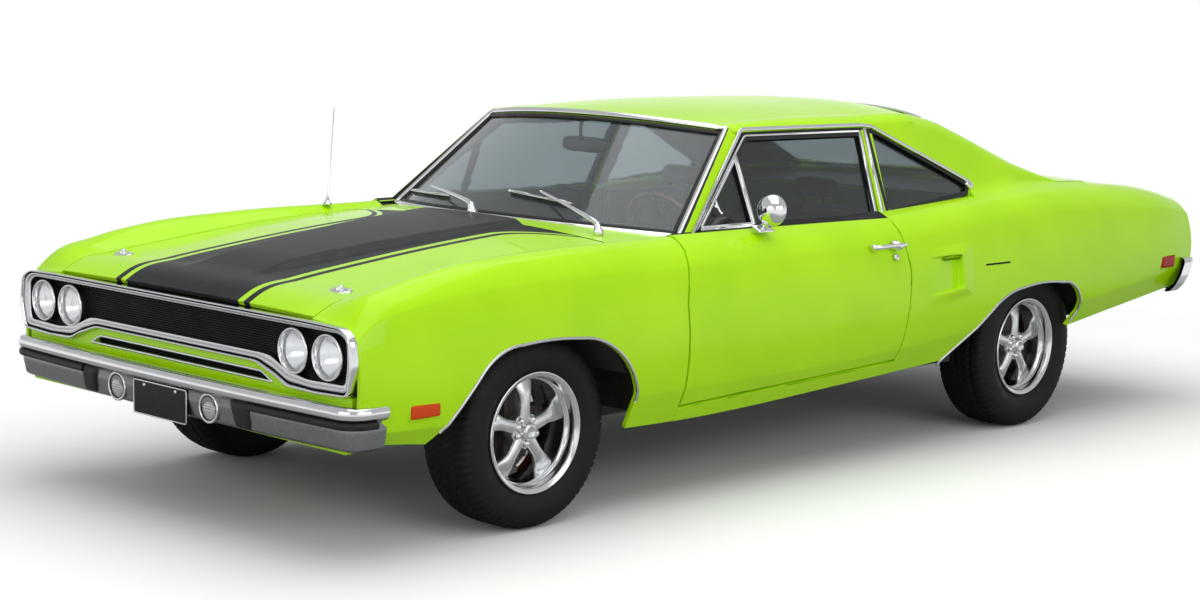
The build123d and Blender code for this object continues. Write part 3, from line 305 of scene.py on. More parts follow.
nodeFinishes = {
    limePaint: "fender_left fender_right quarter_left quarter_right sills upper_deck tail_panel "
               "front_panel decklid",
    linedPaint: "roof",
    framePaint: "door_left door_right",
    stripedPaint: "hood",
    chrome: "lamp_bezels front_bumper rear_bumper wipers aerial door_left_trim door_right_trim "
            "grille_surround",
    tintedGlass: "windshield rear_window",
    sideGlass: "quarter_windows door_left_glass door_right_glass",
    lampGlass: "front_lamps",
    grilleBlack: "grille",
    trimRubber: "bumper_pads",
    platePaint: "number_plates",
    redLens: "tail_lamps",
    amberLens: "side_markers",
    underbody: "floor_pan inner_panels frame_rails cowl",
    engineEnamel: "engine",
    bareSteel: "driveshaft exhaust",
    tankSteel: "fuel_tank",
    castIron: "rear_axle leaf_springs front_arms knuckle_left knuckle_right",
    dashVinyl: "dashboard steering_column steering_wheel",
    blackVinyl: "front_seats rear_seat",
    castAlloy: "rim_front_left rim_front_right rim_rear_left rim_rear_right",
    tyreRubber: "tyre_front_left tyre_front_right tyre_rear_left tyre_rear_right",
}
for material, names in nodeFinishes.items():
    for name in names.split():
        mesh = cadNodes[name].data
        mesh.materials.clear()
        mesh.materials.append(material)
print("stage: materials on every node")


def putMesh(name, points, faces, material, body, normals=None, slot=None, smooth=True):
    # normals, where given, are one per face corner
    mesh = bpy.data.meshes.new(name)
    mesh.from_pydata(np.reshape(points, (-1, 3)).tolist(), [], faces.tolist())
    mesh.polygons.foreach_set("use_smooth", np.full(len(mesh.polygons), smooth))
    if normals is not None:
        mesh.normals_split_custom_set(normals.reshape(-1, 3).tolist())
    mesh.materials.append(material)
    piece = bpy.data.objects.new(name, mesh)
    bpy.context.scene.collection.objects.link(piece)
    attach(piece, body)
    return piece


def unit(vectors):
    return vectors / np.maximum(np.linalg.norm(vectors, axis=-1, keepdims=True), 1e-12)


def paired(a, b):
    return np.broadcast_arrays(np.asarray(a, float), np.asarray(b, float))


def gridFaces(rows, columns, closeRows=False, closeColumns=False):
    # quads of a rows x columns grid of points, wrapped round where asked
    i = np.arange(rows if closeRows else rows - 1)
    j = np.arange(columns if closeColumns else columns - 1)
    i, j = np.meshgrid(i, j, indexing="ij")
    iNext, jNext = (i + 1) % rows, (j + 1) % columns
    return np.stack([i * columns + j, iNext * columns + j, iNext * columns + jNext, i * columns + jNext],
                    -1).reshape(-1, 4)


def joined(parts):
    # several (points, faces) pairs as one, all with faces of the same number of corners
    points = np.concatenate([p.reshape(-1, 3) for p, f in parts])
    starts = np.cumsum([0] + [p.reshape(-1, 3).shape[0] for p, f in parts])
    faces = np.concatenate([f + s for (p, f), s in zip(parts, starts)])
    return points, faces


def putPair(name, points, faces, material, body, normals=None, slot=None, replaced=()):
    # a piece named ...Left gets its mirror image, which replaces the right-hand nodes of the same names
    made = putMesh(name, points, faces, material, body, normals, slot)
    if replaced:
        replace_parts(made, *replaced)
    if name.endswith("Left"):
        flip = np.array([-1.0, 1.0, 1.0])
        if normals is not None:
            normals = normals[:, ::-1] * flip
        other = putMesh(name.replace("Left", "Right"), points * flip, faces[:, ::-1], material,
                        body.replace("door_l", "door_r"), normals, slot)
        nodes = [node.replace("left", "right") for node in replaced if "left" in node]
        if nodes:
            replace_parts(other, *nodes)
    return made


def throughPoints(control, count, closed=False):
    # Catmull-Rom curve through the control points, evened out to count points by arc length
    control = np.asarray(control, float)
    if closed:
        padded = np.concatenate([control[-1:], control, control[:2]])
    else:
        padded = np.concatenate([2 * control[:1] - control[1:2], control, 2 * control[-1:] - control[-2:-1]])
    t = np.linspace(0, 1, 24, endpoint=False)[:, None]
    a, b, c, d = padded[:-3, None], padded[1:-2, None], padded[2:-1, None], padded[3:, None]
    curve = 0.5 * (2 * b + (c - a) * t + (2 * a - 5 * b + 4 * c - d) * t**2 + (3 * b - a - 3 * c + d) * t**3)
    curve = np.concatenate([curve.reshape(-1, control.shape[1]), (control[:1] if closed else control[-1:])])
    return evened(curve, count + (1 if closed else 0))[:count]


def evened(line, count):
    # count points at even distances along a line of points
    run = np.concatenate([[0], np.cumsum(np.linalg.norm(np.diff(line, axis=0), axis=1))])
    at = np.linspace(0, run[-1], count)
    return np.stack([np.interp(at, run, line[:, k]) for k in range(line.shape[1])], -1)


def roundedLine(corners, radius, closed=False, steps=6):
    # straight runs with each corner replaced by an arc-like curve that starts radius before it
    corners = np.asarray(corners, float)
    n = len(corners)
    out = []
    for i in range(n):
        here = corners[i]
        if not closed and i in (0, n - 1):
            out.append(here[None])
            continue
        before, after = corners[(i - 1) % n], corners[(i + 1) % n]
        r = min(radius, 0.45 * np.linalg.norm(before - here), 0.45 * np.linalg.norm(after - here))
        p = here + unit(before - here) * r
        q = here + unit(after - here) * r
        t = np.linspace(0, 1, steps)[:, None]
        out.append((1 - t)**2 * p + 2 * t * (1 - t) * here + t**2 * q)
    return np.concatenate(out)


def sweep(path, profile, outward, closed=False, closedProfile=True, taper=None):
    # profile (a, b) carried along path: a runs along outward, b along path x outward
    path, profile = np.asarray(path, float), np.asarray(profile, float)
    if closed:
        along = np.roll(path, -1, 0) - np.roll(path, 1, 0)
    else:
        along = np.gradient(path, axis=0)
    along = unit(along)
    out = np.broadcast_to(np.asarray(outward, float), path.shape)
    out = unit(out - along * (out * along).sum(-1, keepdims=True))
    side = np.cross(along, out)
    scale = np.ones(len(path)) if taper is None else taper
    a = profile[None, :, 0, None] * scale[:, None, None]
    b = profile[None, :, 1, None] * scale[:, None, None]
    points = path[:, None] + a * out[:, None] + b * side[:, None]
    return points, gridFaces(len(path), len(profile), closed, closedProfile)


def ovalProfile(a, b, count=12):
    turn = np.arange(count) * 2 * math.pi / count
    return np.stack([a * np.cos(turn), b * np.sin(turn)], -1)


# half sections of the body: y, top z, then x and z of seam, crest, widest point, crease and bottom edge,
# in mm
bodyTable = np.array([
    (-2465, 776, 712, 768, 862, 757, 944, 640, 926, 436, 900, 392),
    (-2400, 812, 716, 803, 846, 824, 953, 640, 943, 434, 905, 389),
    (-2240, 842, 722, 827, 828, 880, 960, 638, 952, 431, 908, 374),
    (-2020, 872, 727, 852, 820, 922, 966, 635, 957, 427, 910, 346),
    (-1640, 915, 738, 892, 816, 946, 970, 630, 960, 425, 908, 320),
    (-1000, 965, 752, 925, 808, 950, 970, 620, 955, 425, 903, 300),
    (0, 985, 752, 945, 804, 962, 968, 622, 950, 436, 898, 330),
    (800, 1010, 740, 985, 810, 998, 967, 660, 952, 485, 900, 368),
    (1350, 1034, 720, 1018, 815, 1026, 970, 692, 960, 520, 905, 405),
    (1900, 1028, 700, 1006, 803, 1014, 962, 705, 952, 568, 903, 470),
    (2300, 990, 690, 965, 785, 972, 944, 703, 935, 608, 892, 515),
    (2500, 950, 680, 925, 765, 932, 922, 695, 915, 620, 880, 535),
]) * mm
roofTable = np.array([
    (-640, 1336, 1298, 1289), (-470, 1354, 1312, 1289), (-150, 1372, 1328, 1291), (300, 1377, 1332, 1291),
    (720, 1371, 1325, 1290), (900, 1360, 1284, 1240), (1070, 1338, 1234, 1184),
]) * mm
shoulderDrop = 0.33
shoulderIn = 0.41
crestEase = (0.50, 0.36)   # shares of the seam-to-crest line and of the shoulder arc


def tableAt(table, y):
    # smooth rows between the table's rows: cubic pieces whose end slopes weigh the two neighbouring steps
    # by distance
    at = table[:, 0]
    step = np.diff(table, axis=0) / np.diff(at)[:, None]
    before, after = np.diff(at)[:-1, None], np.diff(at)[1:, None]
    inner = (step[:-1] * after + step[1:] * before) / (before + after)
    slope = np.concatenate([step[:1], inner, step[-1:]])
    y = np.clip(y, at[0], at[-1])
    i = np.clip(np.searchsorted(at, y, side="right") - 1, 0, len(at) - 2)
    span = (at[i + 1] - at[i])[..., None]
    t = (y[..., None] - at[i][..., None]) / span
    return ((2 * t**3 - 3 * t**2 + 1) * table[i] + (t**3 - 2 * t**2 + t) * span * slope[i]
            + (3 * t**2 - 2 * t**3) * table[i + 1] + (t**3 - t**2) * span * slope[i + 1])


def arcAt(a, b, c, t):
    # point a share t along the circle through a, b and c, all plane points
    ab, ac = b - a, c - a
    d = 2 * (ab[..., 0] * ac[..., 1] - ab[..., 1] * ac[..., 0])
    d = np.where(np.abs(d) < 1e-12, 1e-12, d)
    bb, cc = (ab**2).sum(-1), (ac**2).sum(-1)
    centre = a + np.stack([(ac[..., 1] * bb - ab[..., 1] * cc) / d, (ab[..., 0] * cc - ac[..., 0] * bb) / d],
                          -1)

    def angle(p):
        return np.arctan2(p[..., 1] - centre[..., 1], p[..., 0] - centre[..., 0])
    start = angle(a)
    middle = (angle(b) - start + math.pi) % (2 * math.pi) - math.pi
    end = (angle(c) - start + math.pi) % (2 * math.pi) - math.pi
    end = np.where(np.sign(end) == np.sign(middle), end, end + np.sign(middle) * 2 * math.pi)
    radius = np.linalg.norm(a - centre, axis=-1)
    turn = start + end * t
    return centre + radius[..., None] * np.stack([np.cos(turn), np.sin(turn)], -1)


def bodySide(y, s):
    # s from 0 to 4: seam to crest, shoulder arc, side arc down to the crease, then the lower edge
    y, s = paired(y, s)
    row = tableAt(bodyTable, y)
    seam, crest, wide, crease, low = (row[..., k:k + 2] for k in (2, 4, 6, 8, 10))
    drop = shoulderDrop * (crest[..., 1] - wide[..., 1])
    shoulder = np.stack([wide[..., 0] - shoulderIn * drop, crest[..., 1] - drop], -1)
    bend = (crest + shoulder) / 2 + drop[..., None] * np.array([0.10, 0.11])
    t = np.clip(s[..., None], 0, 1)
    first = seam + t * (crest - seam)
    second = arcAt(crest, bend, shoulder, np.clip(s - 1, 0, 1))
    third = arcAt(shoulder, wide, crease, np.clip(s - 2, 0, 1))
    fourth = crease + np.clip(s - 3, 0, 1)[..., None] * (low - crease)
    piece = np.clip(np.floor(s), 0, 3)[..., None]
    xz = np.where(piece == 0, first, np.where(piece == 1, second, np.where(piece == 2, third, fourth)))
    # the corner at the crest is eased by a quadratic curve between a point short of it and a point past it
    before, past = crestEase
    t = np.clip((s[..., None] - 1 + before) / (before + past), 0, 1)
    start = crest + before * (seam - crest)
    end = arcAt(crest, bend, shoulder, np.full_like(s, past))
    eased = (1 - t)**2 * start + 2 * t * (1 - t) * crest + t**2 * end
    xz = np.where((t > 0) & (t < 1), eased, xz)
    return np.stack([xz[..., 0], y, xz[..., 1]], -1)


def bodyTop(y, v):
    # v from -1 to 1 across the hood or deck: the circle through both seams and the centre height
    y, v = paired(y, v)
    row = tableAt(bodyTable, y)
    half, rise = row[..., 2], row[..., 1] - row[..., 3]
    radius = (half**2 + rise**2) / (2 * rise)
    x = v * half
    return np.stack([x, y, row[..., 1] - radius + np.sqrt(radius**2 - x**2)], -1)


def roofTop(y, v):
    # crown circle out to the shoulder line, then a short circle down to the drip edge at v = 1
    y, v = paired(y, v)
    row = tableAt(roofTable, y)
    top, shoulder, edge = row[..., 1], row[..., 2], row[..., 3]
    reach = np.abs(v)
    half, rise = 0.590, top - shoulder
    radius = (half**2 + rise**2) / (2 * rise)
    x = np.minimum(reach / 0.86, 1) * half
    crown = np.stack([x, top - radius + np.sqrt(radius**2 - x**2)], -1)
    one = np.ones_like(top)
    bend = np.stack([0.642 * one, (shoulder + edge) / 2 + 0.007], -1)
    side = arcAt(np.stack([half * one, shoulder], -1), bend, np.stack([0.666 * one, edge], -1),
                 np.clip((reach - 0.86) / 0.14, 0, 1))
    xz = np.where(reach[..., None] < 0.86, crown, side)
    return np.stack([np.sign(v) * xz[..., 0], y, xz[..., 1]], -1)


def outOfBody(p):
    # away from a line inside the upper body, level across the car: tells the outside of the side panels
    return (p - np.array([0.60, 0, 0.55])) * np.array([1.0, 0, 1.0])


def outlineDistance(outline, a, b):
    # signed distance from plane points (a, b) to a closed outline, positive inside
    start = np.asarray(outline, float)
    end = np.roll(start, -1, 0)
    a, b = np.asarray(a, float)[..., None], np.asarray(b, float)[..., None]
    edge = end - start
    t = np.clip(((a - start[:, 0]) * edge[:, 0] + (b - start[:, 1]) * edge[:, 1]) / (edge**2).sum(-1), 0, 1)
    gap = np.hypot(a - start[:, 0] - t * edge[:, 0], b - start[:, 1] - t * edge[:, 1]).min(-1)
    rise = np.where(np.abs(edge[:, 1]) < 1e-12, 1e-12, edge[:, 1])
    straddled = (start[:, 1] > b) != (end[:, 1] > b)
    crossing = straddled & (a < edge[:, 0] * (b - start[:, 1]) / rise + start[:, 0])
    return np.where(crossing.sum(-1) % 2 == 1, gap, -gap)


def trimmedSurface(surface, us, vs, inside):
    # the grid's triangles cut along the zero line of inside(points); returns u, v of points and triangles
    u, v = np.meshgrid(us, vs, indexing="ij")
    u, v = u.ravel(), v.ravel()
    depth = inside(surface(u, v))
    quads = gridFaces(len(us), len(vs))
    tris = np.concatenate([quads[:, [0, 1, 2]], quads[:, [0, 2, 3]]])
    keep = (depth > 0)[tris]
    count = keep.sum(1)
    whole = tris[count == 3]
    cut = (count == 1) | (count == 2)
    tris, keep, count = tris[cut], keep[cut], count[cut]
    odd = np.where((count == 1)[:, None], keep, ~keep).argmax(1)
    turned = np.take_along_axis(tris, (odd[:, None] + np.arange(3)) % 3, 1)
    ends = np.concatenate([turned[:, [0, 1]], turned[:, [0, 2]]])
    pairs, where = np.unique(np.sort(ends, 1), axis=0, return_inverse=True)
    where = where.reshape(-1)
    a, b = pairs[:, 0], pairs[:, 1]
    share = depth[a] / (depth[a] - depth[b])
    low, high = np.zeros_like(share), np.ones_like(share)
    for _ in range(3):
        mid = inside(surface(u[a] + share * (u[b] - u[a]), v[a] + share * (v[b] - v[a])))
        sameAsA = np.sign(mid) == np.sign(depth[a])
        low, high = np.where(sameAsA, share, low), np.where(sameAsA, high, share)
        share = np.clip(share + mid / np.where(np.abs(depth[a] - depth[b]) < 1e-9, 1e-9, depth[a] - depth[b]),
                        low, high)
    first = len(u) + where[:len(turned)]
    second = len(u) + where[len(turned):]
    one = count == 1
    parts = [whole, np.stack([turned[one, 0], first[one], second[one]], -1),
             np.stack([first[~one], turned[~one, 1], turned[~one, 2]], -1),
             np.stack([first[~one], turned[~one, 2], second[~one]], -1)]
    faces = np.concatenate(parts)
    uAll = np.concatenate([u, u[a] + share * (u[b] - u[a])])
    vAll = np.concatenate([v, v[a] + share * (v[b] - v[a])])
    used, faces = np.unique(faces, return_inverse=True)
    return uAll[used], vAll[used], faces.reshape(-1, 3)


def surfaceNormals(surface, u, v, outward):
    # cross product of small steps along u and v, turned to the side that outward(points) points to
    h = 2e-4
    alongU = surface(u + h, v) - surface(u - h, v)
    alongV = surface(u, v + h) - surface(u, v - h)
    normal = unit(np.cross(alongU, alongV))
    flip = np.sign((normal * outward).sum(-1, keepdims=True))
    return normal * np.where(flip == 0, 1, flip)


def foldedPanel(points, normals, faces, fold=0.0025, depth=skinDepth, steps=4):
    # a sheet with its edge rolled over a small radius, a straight flange, and a back face that closes it
    a, b, c = (points[faces[:, k]] for k in range(3))
    upright = (np.cross(b - a, c - a) * normals[faces[:, 0]]).sum(-1) > 0
    faces = np.where(upright[:, None], faces, faces[:, ::-1])
    edges = np.concatenate([faces[:, [0, 1]], faces[:, [1, 2]], faces[:, [2, 0]]])
    size = len(points)
    keys, reverse = edges[:, 0] * size + edges[:, 1], edges[:, 1] * size + edges[:, 0]
    rim = edges[~np.isin(keys, reverse)]
    run = points[rim[:, 1]] - points[rim[:, 0]]
    side = np.cross(run, normals[rim[:, 0]])
    out = np.zeros_like(points)
    np.add.at(out, rim[:, 0], side)
    np.add.at(out, rim[:, 1], side)
    out = out - normals * (out * normals).sum(-1, keepdims=True)
    rimPoints = np.unique(rim)
    place = np.full(size, -1)
    place[rimPoints] = np.arange(len(rimPoints))
    w, n, p = unit(out[rimPoints]), normals[rimPoints], points[rimPoints]
    p = p - fold * w
    points = points.copy()
    points[rimPoints] = p
    rings, ringNormals = [p], [n]
    for k in range(1, steps + 1):
        turn = 0.5 * math.pi * k / steps
        rings.append(p + w * fold * math.sin(turn) - n * fold * (1 - math.cos(turn)))
        ringNormals.append(unit(n * math.cos(turn) + w * math.sin(turn)))
    rings.append(p + w * fold - n * depth)
    ringNormals.append(w)
    count = len(rimPoints)
    allPoints = [points] + rings[1:]
    starts = [None] + [size + k * count for k in range(len(rings) - 1)]
    tris, corner = [faces], [normals[faces]]
    a, b = place[rim[:, 0]], place[rim[:, 1]]
    for k in range(len(rings) - 1):
        top = (lambda i: rimPoints[i]) if k == 0 else (lambda i, s=starts[k]: s + i)
        low = starts[k + 1]
        n0, n1 = ringNormals[k], ringNormals[k + 1]
        if k == len(rings) - 2:
            n0 = n1
        tris += [np.stack([top(a), low + a, top(b)], -1), np.stack([top(b), low + a, low + b], -1)]
        corner += [np.stack([n0[a], n1[a], n0[b]], 1), np.stack([n0[b], n1[a], n1[b]], 1)]
    back = points - normals * depth
    backStart = size + (len(rings) - 1) * count
    allPoints.append(back)
    backIndex = backStart + np.arange(size)
    backIndex[rimPoints] = starts[-1] + np.arange(count)
    tris.append(backIndex[faces[:, ::-1]])
    corner.append(-normals[faces[:, ::-1]])
    pointsOut, facesOut, cornersOut = (np.concatenate(parts) for parts in (allPoints, tris, corner))
    used, facesOut = np.unique(facesOut, return_inverse=True)
    return pointsOut[used], facesOut.reshape(-1, 3), cornersOut


def trimmedPanel(name, surface, us, vs, inside, outward, material, body, replaced=(), depth=skinDepth,
                 fold=0.0025, lift=0.0, slot="body_paint"):
    # lift raises a skin over the CAD form it covers
    u, v, faces = trimmedSurface(surface, us, vs, inside)
    points = surface(u, v)
    normals = surfaceNormals(surface, u, v, outward(points) if callable(outward) else outward)
    points = points + lift * normals
    points, faces, corners = foldedPanel(points, normals, faces, fold, depth)
    putPair(name, points, faces, material, body, corners, slot, replaced)


def arcLine(a, b, c, count=14):
    a, b, c = (np.array(p, float) for p in (a, b, c))
    return arcAt(a[None], b[None], c[None], np.linspace(0, 1, count))


def archLine(parts):
    # straight legs have two points and arcs three
    lines = [np.array(part, float) if len(part) == 2 else arcLine(*part) for part in parts]
    return np.concatenate([line[:-1] for line in lines]) * mm


panelLook = {
    "doorFront": [(-1006, 250), (-1006, 720), (-953, 912), (-945, 975)],
    "doorRear": [(245, 250), (245, 400), (295, 749), (272, 912), (262, 975)],
    "doorLow": (360, 400),
    "shut": 6,
    "doorShut": 7,
    "doorRearShut": 6,
    "sillShut": 10,
    "hoodFront": -2.456,
    "hoodRear": -1.170,
    "deckFront": 1.720,
    "deckRear": 2.468,
}
frontArch = archLine([
    [(-2290, 230), (-1990, 565)], [(-1990, 565), (-1912, 628), (-1800, 652)],
    [(-1800, 652), (-1660, 657), (-1540, 650)], [(-1540, 650), (-1345, 575), (-1258, 440)],
    [(-1258, 440), (-1258, 230)], [(-1258, 230), (-2290, 230)],
])
rearArch = archLine([
    [(410, 230), (890, 571)], [(890, 571), (975, 607), (1060, 622)], [(1060, 622), (1210, 634), (1360, 625)],
    [(1360, 625), (1475, 585), (1528, 490)], [(1528, 490), (1400, 230)], [(1400, 230), (410, 230)],
])
doorFront = np.array(panelLook["doorFront"], float) * mm
doorRear = np.array(panelLook["doorRear"], float) * mm
halfShut = panelLook["shut"] * mm / 2


def doorLowZ(y):
    low, high = np.array(panelLook["doorLow"]) * mm
    return low + (y + 1.006) / 1.251 * (high - low)


def shiftedLine(line, dy):
    return line + np.array([dy, 0.0])


def between(low, high, step):
    return np.linspace(low, high, max(2, int(round((high - low) / step)) + 1))


def stretches(*parts, lineOf=np.linspace):
    # even points in each (low, high, count) stretch, with the ends they share kept once
    lines = [lineOf(*part) for part in parts]
    return np.concatenate([line[:-1] for line in lines[:-1]] + lines[-1:])


sideRows = stretches((0, 0.5, 3), (0.5, 1.36, 12), (1.36, 2, 11), (2, 3, 29), (3, 4, 10))


def buildFenders():
    line = shiftedLine(doorFront, -panelLook["doorShut"] * mm / 2)
    outline = np.concatenate([[(-2.6, 0.2)], line, [(line[-1, 0], 1.1), (-2.6, 1.1)]])

    def inside(p):
        panel = outlineDistance(outline, p[..., 1], p[..., 2])
        return np.minimum(panel, -outlineDistance(frontArch, p[..., 1], p[..., 2]))

    us = between(-2.465, -0.940, 0.018)
    trimmedPanel("frontFenderLeft", bodySide, us, sideRows, inside, outOfBody, limePaint, "body",
                 ("fender_left",))


scoopLook = {
    "front": 0.372,
    "rear": 0.629,
    "low": 0.640,
    "high": 0.792,
    "depth": 0.017,
    "edge": 0.010,
    "blister": 0.010,
    "ventY": (0.787, 0.966),
    "ventZ": 0.737,
    "ventHalf": 0.0045,
    "tailLean": 0.085,
}


def smoothStep(x):
    x = np.clip(x, 0, 1)
    return x * x * (3 - 2 * x)


def window(x, low, high, edge):
    return smoothStep((x - low) / edge) * smoothStep((high - x) / edge)


def quarterSide(y, s):
    # body side sunk by a ramp that deepens towards the back of the scoop, with a raised brow round its step
    look = scoopLook
    p = bodySide(y, s)
    yy, zz = p[..., 1], p[..., 2]
    span = look["rear"] - look["front"]
    ramp = smoothStep((yy - look["front"]) / span) * smoothStep((look["rear"] - yy) / look["edge"])
    lowEdge = look["low"] - 0.006 + 0.022 * (yy - look["front"]) / span
    rise = window(zz, lowEdge, look["high"], look["edge"])
    sunk = look["depth"] * ramp * rise
    beyond = np.maximum(np.maximum(yy - look["rear"], 0) / 0.085,
                        np.maximum(np.maximum(zz - look["high"], lowEdge - zz), 0) / 0.045)
    near = smoothStep((yy - look["front"] + 0.02) / span)
    brow = look["blister"] * near * smoothStep(1 - beyond) * (1 - ramp * rise) * (yy > look["front"] - 0.02)
    return p + np.stack([brow - sunk, 0 * yy, 0 * yy], -1)


def buildQuarters():
    line = shiftedLine(doorRear, halfShut)
    outline = np.concatenate([line, [(line[-1, 0], 1.1), (2.6, 1.1), (2.6, 0.2)]])

    def inside(p):
        panel = outlineDistance(outline, p[..., 1], p[..., 2])
        tail = 2.503 - scoopLook["tailLean"] * np.clip((0.650 - p[..., 2]) / 0.14, 0, 1.2) - p[..., 1]
        return np.minimum(np.minimum(panel, tail), -outlineDistance(rearArch, p[..., 1], p[..., 2]))
    # finer steps where the scoop's edge and the slot behind it are
    us = stretches((0.245, 0.36, 0.016), (0.36, 0.612, 0.014), (0.612, 0.64, 0.0025), (0.64, 0.72, 0.010),
                   (0.72, 2.5, 0.028), lineOf=between)
    rows = stretches((0, 0.5, 3), (0.5, 1.4, 10), (1.4, 2, 9), (2, 2.62, 50), (2.62, 3, 11), (3, 4, 9))
    trimmedPanel("rearQuarterLeft", quarterSide, us, rows, inside, outOfBody, limePaint, "body",
                 ("quarter_left",))
    # black slot behind the scoop, a flat bar that follows the side
    y = np.linspace(*scoopLook["ventY"], 24)
    s = np.linspace(1.5, 3.0, 200)
    grid = bodySide(y[:, None], s[None, :])
    x = np.array([np.interp(-scoopLook["ventZ"], -row[:, 2], row[:, 0]) for row in grid])
    line = np.stack([x - 0.0008, y, np.full_like(y, scoopLook["ventZ"])], -1)
    half = scoopLook["ventHalf"]
    taper = np.sqrt(np.clip(1 - np.abs(np.linspace(-1, 1, 24))**24, 0.08, 1))
    points, faces = sweep(line, ovalProfile(0.0020, half, 12), (1.0, 0, 0), taper=taper)
    putPair("airSlotLeft", points, faces, grilleBlack, "body", slot="black_trim")


def buildDoors():
    front = shiftedLine(doorFront, panelLook["doorShut"] * mm / 2)
    rear = shiftedLine(doorRear, -panelLook["doorRearShut"] * mm)
    low = doorLowZ(np.array([front[0, 0], rear[0, 0]]))
    outline = np.concatenate([[(front[0, 0], low[0])], front[1:], [(front[-1, 0], 1.1), (rear[-1, 0], 1.1)],
                              rear[1:][::-1], [(rear[0, 0], low[1])]])

    def inside(p):
        panel = outlineDistance(outline, p[..., 1], p[..., 2])
        return np.minimum(panel, p[..., 0] - 0.782)

    us = between(-1.006, 0.300, 0.018)
    rows = sideRows[sideRows > 0.35]
    trimmedPanel("doorSkinLeft", bodySide, us, rows, inside, outOfBody, limePaint, "door_l",
                 depth=0.010, lift=0.001)


def buildSills():
    front, rear = doorFront[0, 0] - halfShut, doorRear[0, 0] + halfShut
    gap = panelLook["sillShut"] * mm
    outline = [(front, 0.2), (front, doorLowZ(front) - gap), (rear, doorLowZ(rear) - gap), (rear, 0.2)]

    def inside(p):
        return outlineDistance(outline, p[..., 1], p[..., 2])

    trimmedPanel("sillLeft", bodySide, between(front - 0.005, rear + 0.005, 0.03), np.linspace(2.9, 4, 30),
                 inside,
                 np.array([1.0, 0, 0]), limePaint, "body", depth=0.012, lift=0.001)


def hoodTop(y, v):
    # the crowned top with a flat-topped rise along the middle that widens and grows towards the windshield
    p = bodyTop(y, v)
    x = np.abs(p[..., 0])
    t = np.clip((p[..., 1] + 2.33) / (2.33 - 1.17), 0, 1)
    half = 0.215 + 0.085 * smoothStep(t)
    high = 0.020 * smoothStep((p[..., 1] + 2.36) / 0.30)
    rise = high * smoothStep((half - x) / 0.055)
    return p + np.stack([0 * x, 0 * x, rise], -1)


def topPanel(name, surface, low, high, step, narrower, inside, material, body, replaced, across=57, lift=0.0):
    # hood, cowl and deck panels; narrower is what they leave at each seam
    def shrunk(y, v):
        row = tableAt(bodyTable, np.asarray(y, float))
        return surface(y, np.asarray(v) * (1 - narrower / row[..., 2]))
    return trimmedPanel(name, shrunk, between(low, high, step), np.linspace(-1, 1, across), inside,
                        np.array([0.0, 0, 1]),
                        material, body, replaced, lift=lift)


def arcPlanY(a, middle, x):
    # y of the plan arc through (-a.x, a.y), (0, middle) and (a.x, a.y) at x
    half, rise = a[0], middle - a[1]
    radius = (half**2 + rise**2) / (2 * abs(rise))
    return middle - np.sign(rise) * (radius - np.sqrt(np.maximum(radius**2 - x**2, 0)))


def everywhere(p):
    return np.ones(p.shape[:-1])


def buildTops():
    shut = panelLook["shut"] * mm
    topPanel("hoodSkin", hoodTop, panelLook["hoodFront"], panelLook["hoodRear"], 0.016, shut, everywhere,
             stripedPaint, "hood_lid", ("hood",), 79)
    topPanel("deckLidSkin", bodyTop, panelLook["deckFront"], panelLook["deckRear"], 0.018, shut, everywhere,
             limePaint, "deck_lid", ("decklid",))
    topPanel("cowlSkin", bodyTop, panelLook["hoodRear"] + shut, -0.82, 0.012, 0.0005,
             lambda p: arcPlanY((0.8, -0.852), -1.086, p[..., 0]) - p[..., 1], limePaint, "body", (), 73,
             0.001)
    topPanel("upperDeckSkin", bodyTop, 1.47, panelLook["deckFront"] - shut, 0.012, 0.0005,
             lambda p: p[..., 1] - arcPlanY((0.8, 1.494), 1.654, p[..., 0]), limePaint, "body", (), 73, 0.001)


def buildTail():
    # upright panel that fills the end section of the body
    at = 2.490
    top, side = bodyTop(at, np.linspace(-1, 1, 61)), bodySide(at, np.linspace(0, 4, 81))
    outline = np.concatenate([top, side, side[::-1] * [-1, 1, 1]])[:, [0, 2]]

    def upright(x, z):
        x, z = paired(x, z)
        return np.stack([x, 2.494 + 0 * x, z], -1)

    trimmedPanel("tailPanelSkin", upright, between(-0.95, 0.95, 0.024), between(0.50, 0.97, 0.013),
                 lambda p: np.minimum(outlineDistance(outline, p[..., 0], p[..., 2]) - 0.005,
                                      p[..., 2] - 0.52 - 0.125
                                      * smoothStep((np.abs(p[..., 0]) - 0.66) / 0.04)),
                 np.array([0, 1.0, 0]), limePaint, "body", ("tail_panel",))


def betweenPanes(p, front=0.0, rear=0.0):
    # depth inside the plan arcs of the roof's two ends, each drawn in by a margin
    ahead = p[..., 1] - arcPlanY((0.7, -0.44), -0.612, p[..., 0]) - front
    behind = arcPlanY((0.7, 0.80), 1.060, p[..., 0]) - p[..., 1] - rear
    return np.minimum(ahead, behind)


def buildRoof():
    def inside(p):
        corner = np.maximum(0.585 - np.abs(p[..., 0]), 0.66 - p[..., 1])
        return np.minimum(betweenPanes(p), corner)

    across = stretches((-1, -0.86, 10), (-0.86, 0.86, 49), (0.86, 1, 10))
    trimmedPanel("roofSkin", roofTop, between(-0.64, 1.07, 0.022), across, inside, np.array([0.0, 0, 1]),
                 limePaint, "body", ("roof",), depth=0.020, lift=0.001)


buildFenders()
buildQuarters()
buildDoors()
buildSills()
buildTops()
buildTail()
buildRoof()
print("stage: outer panels")


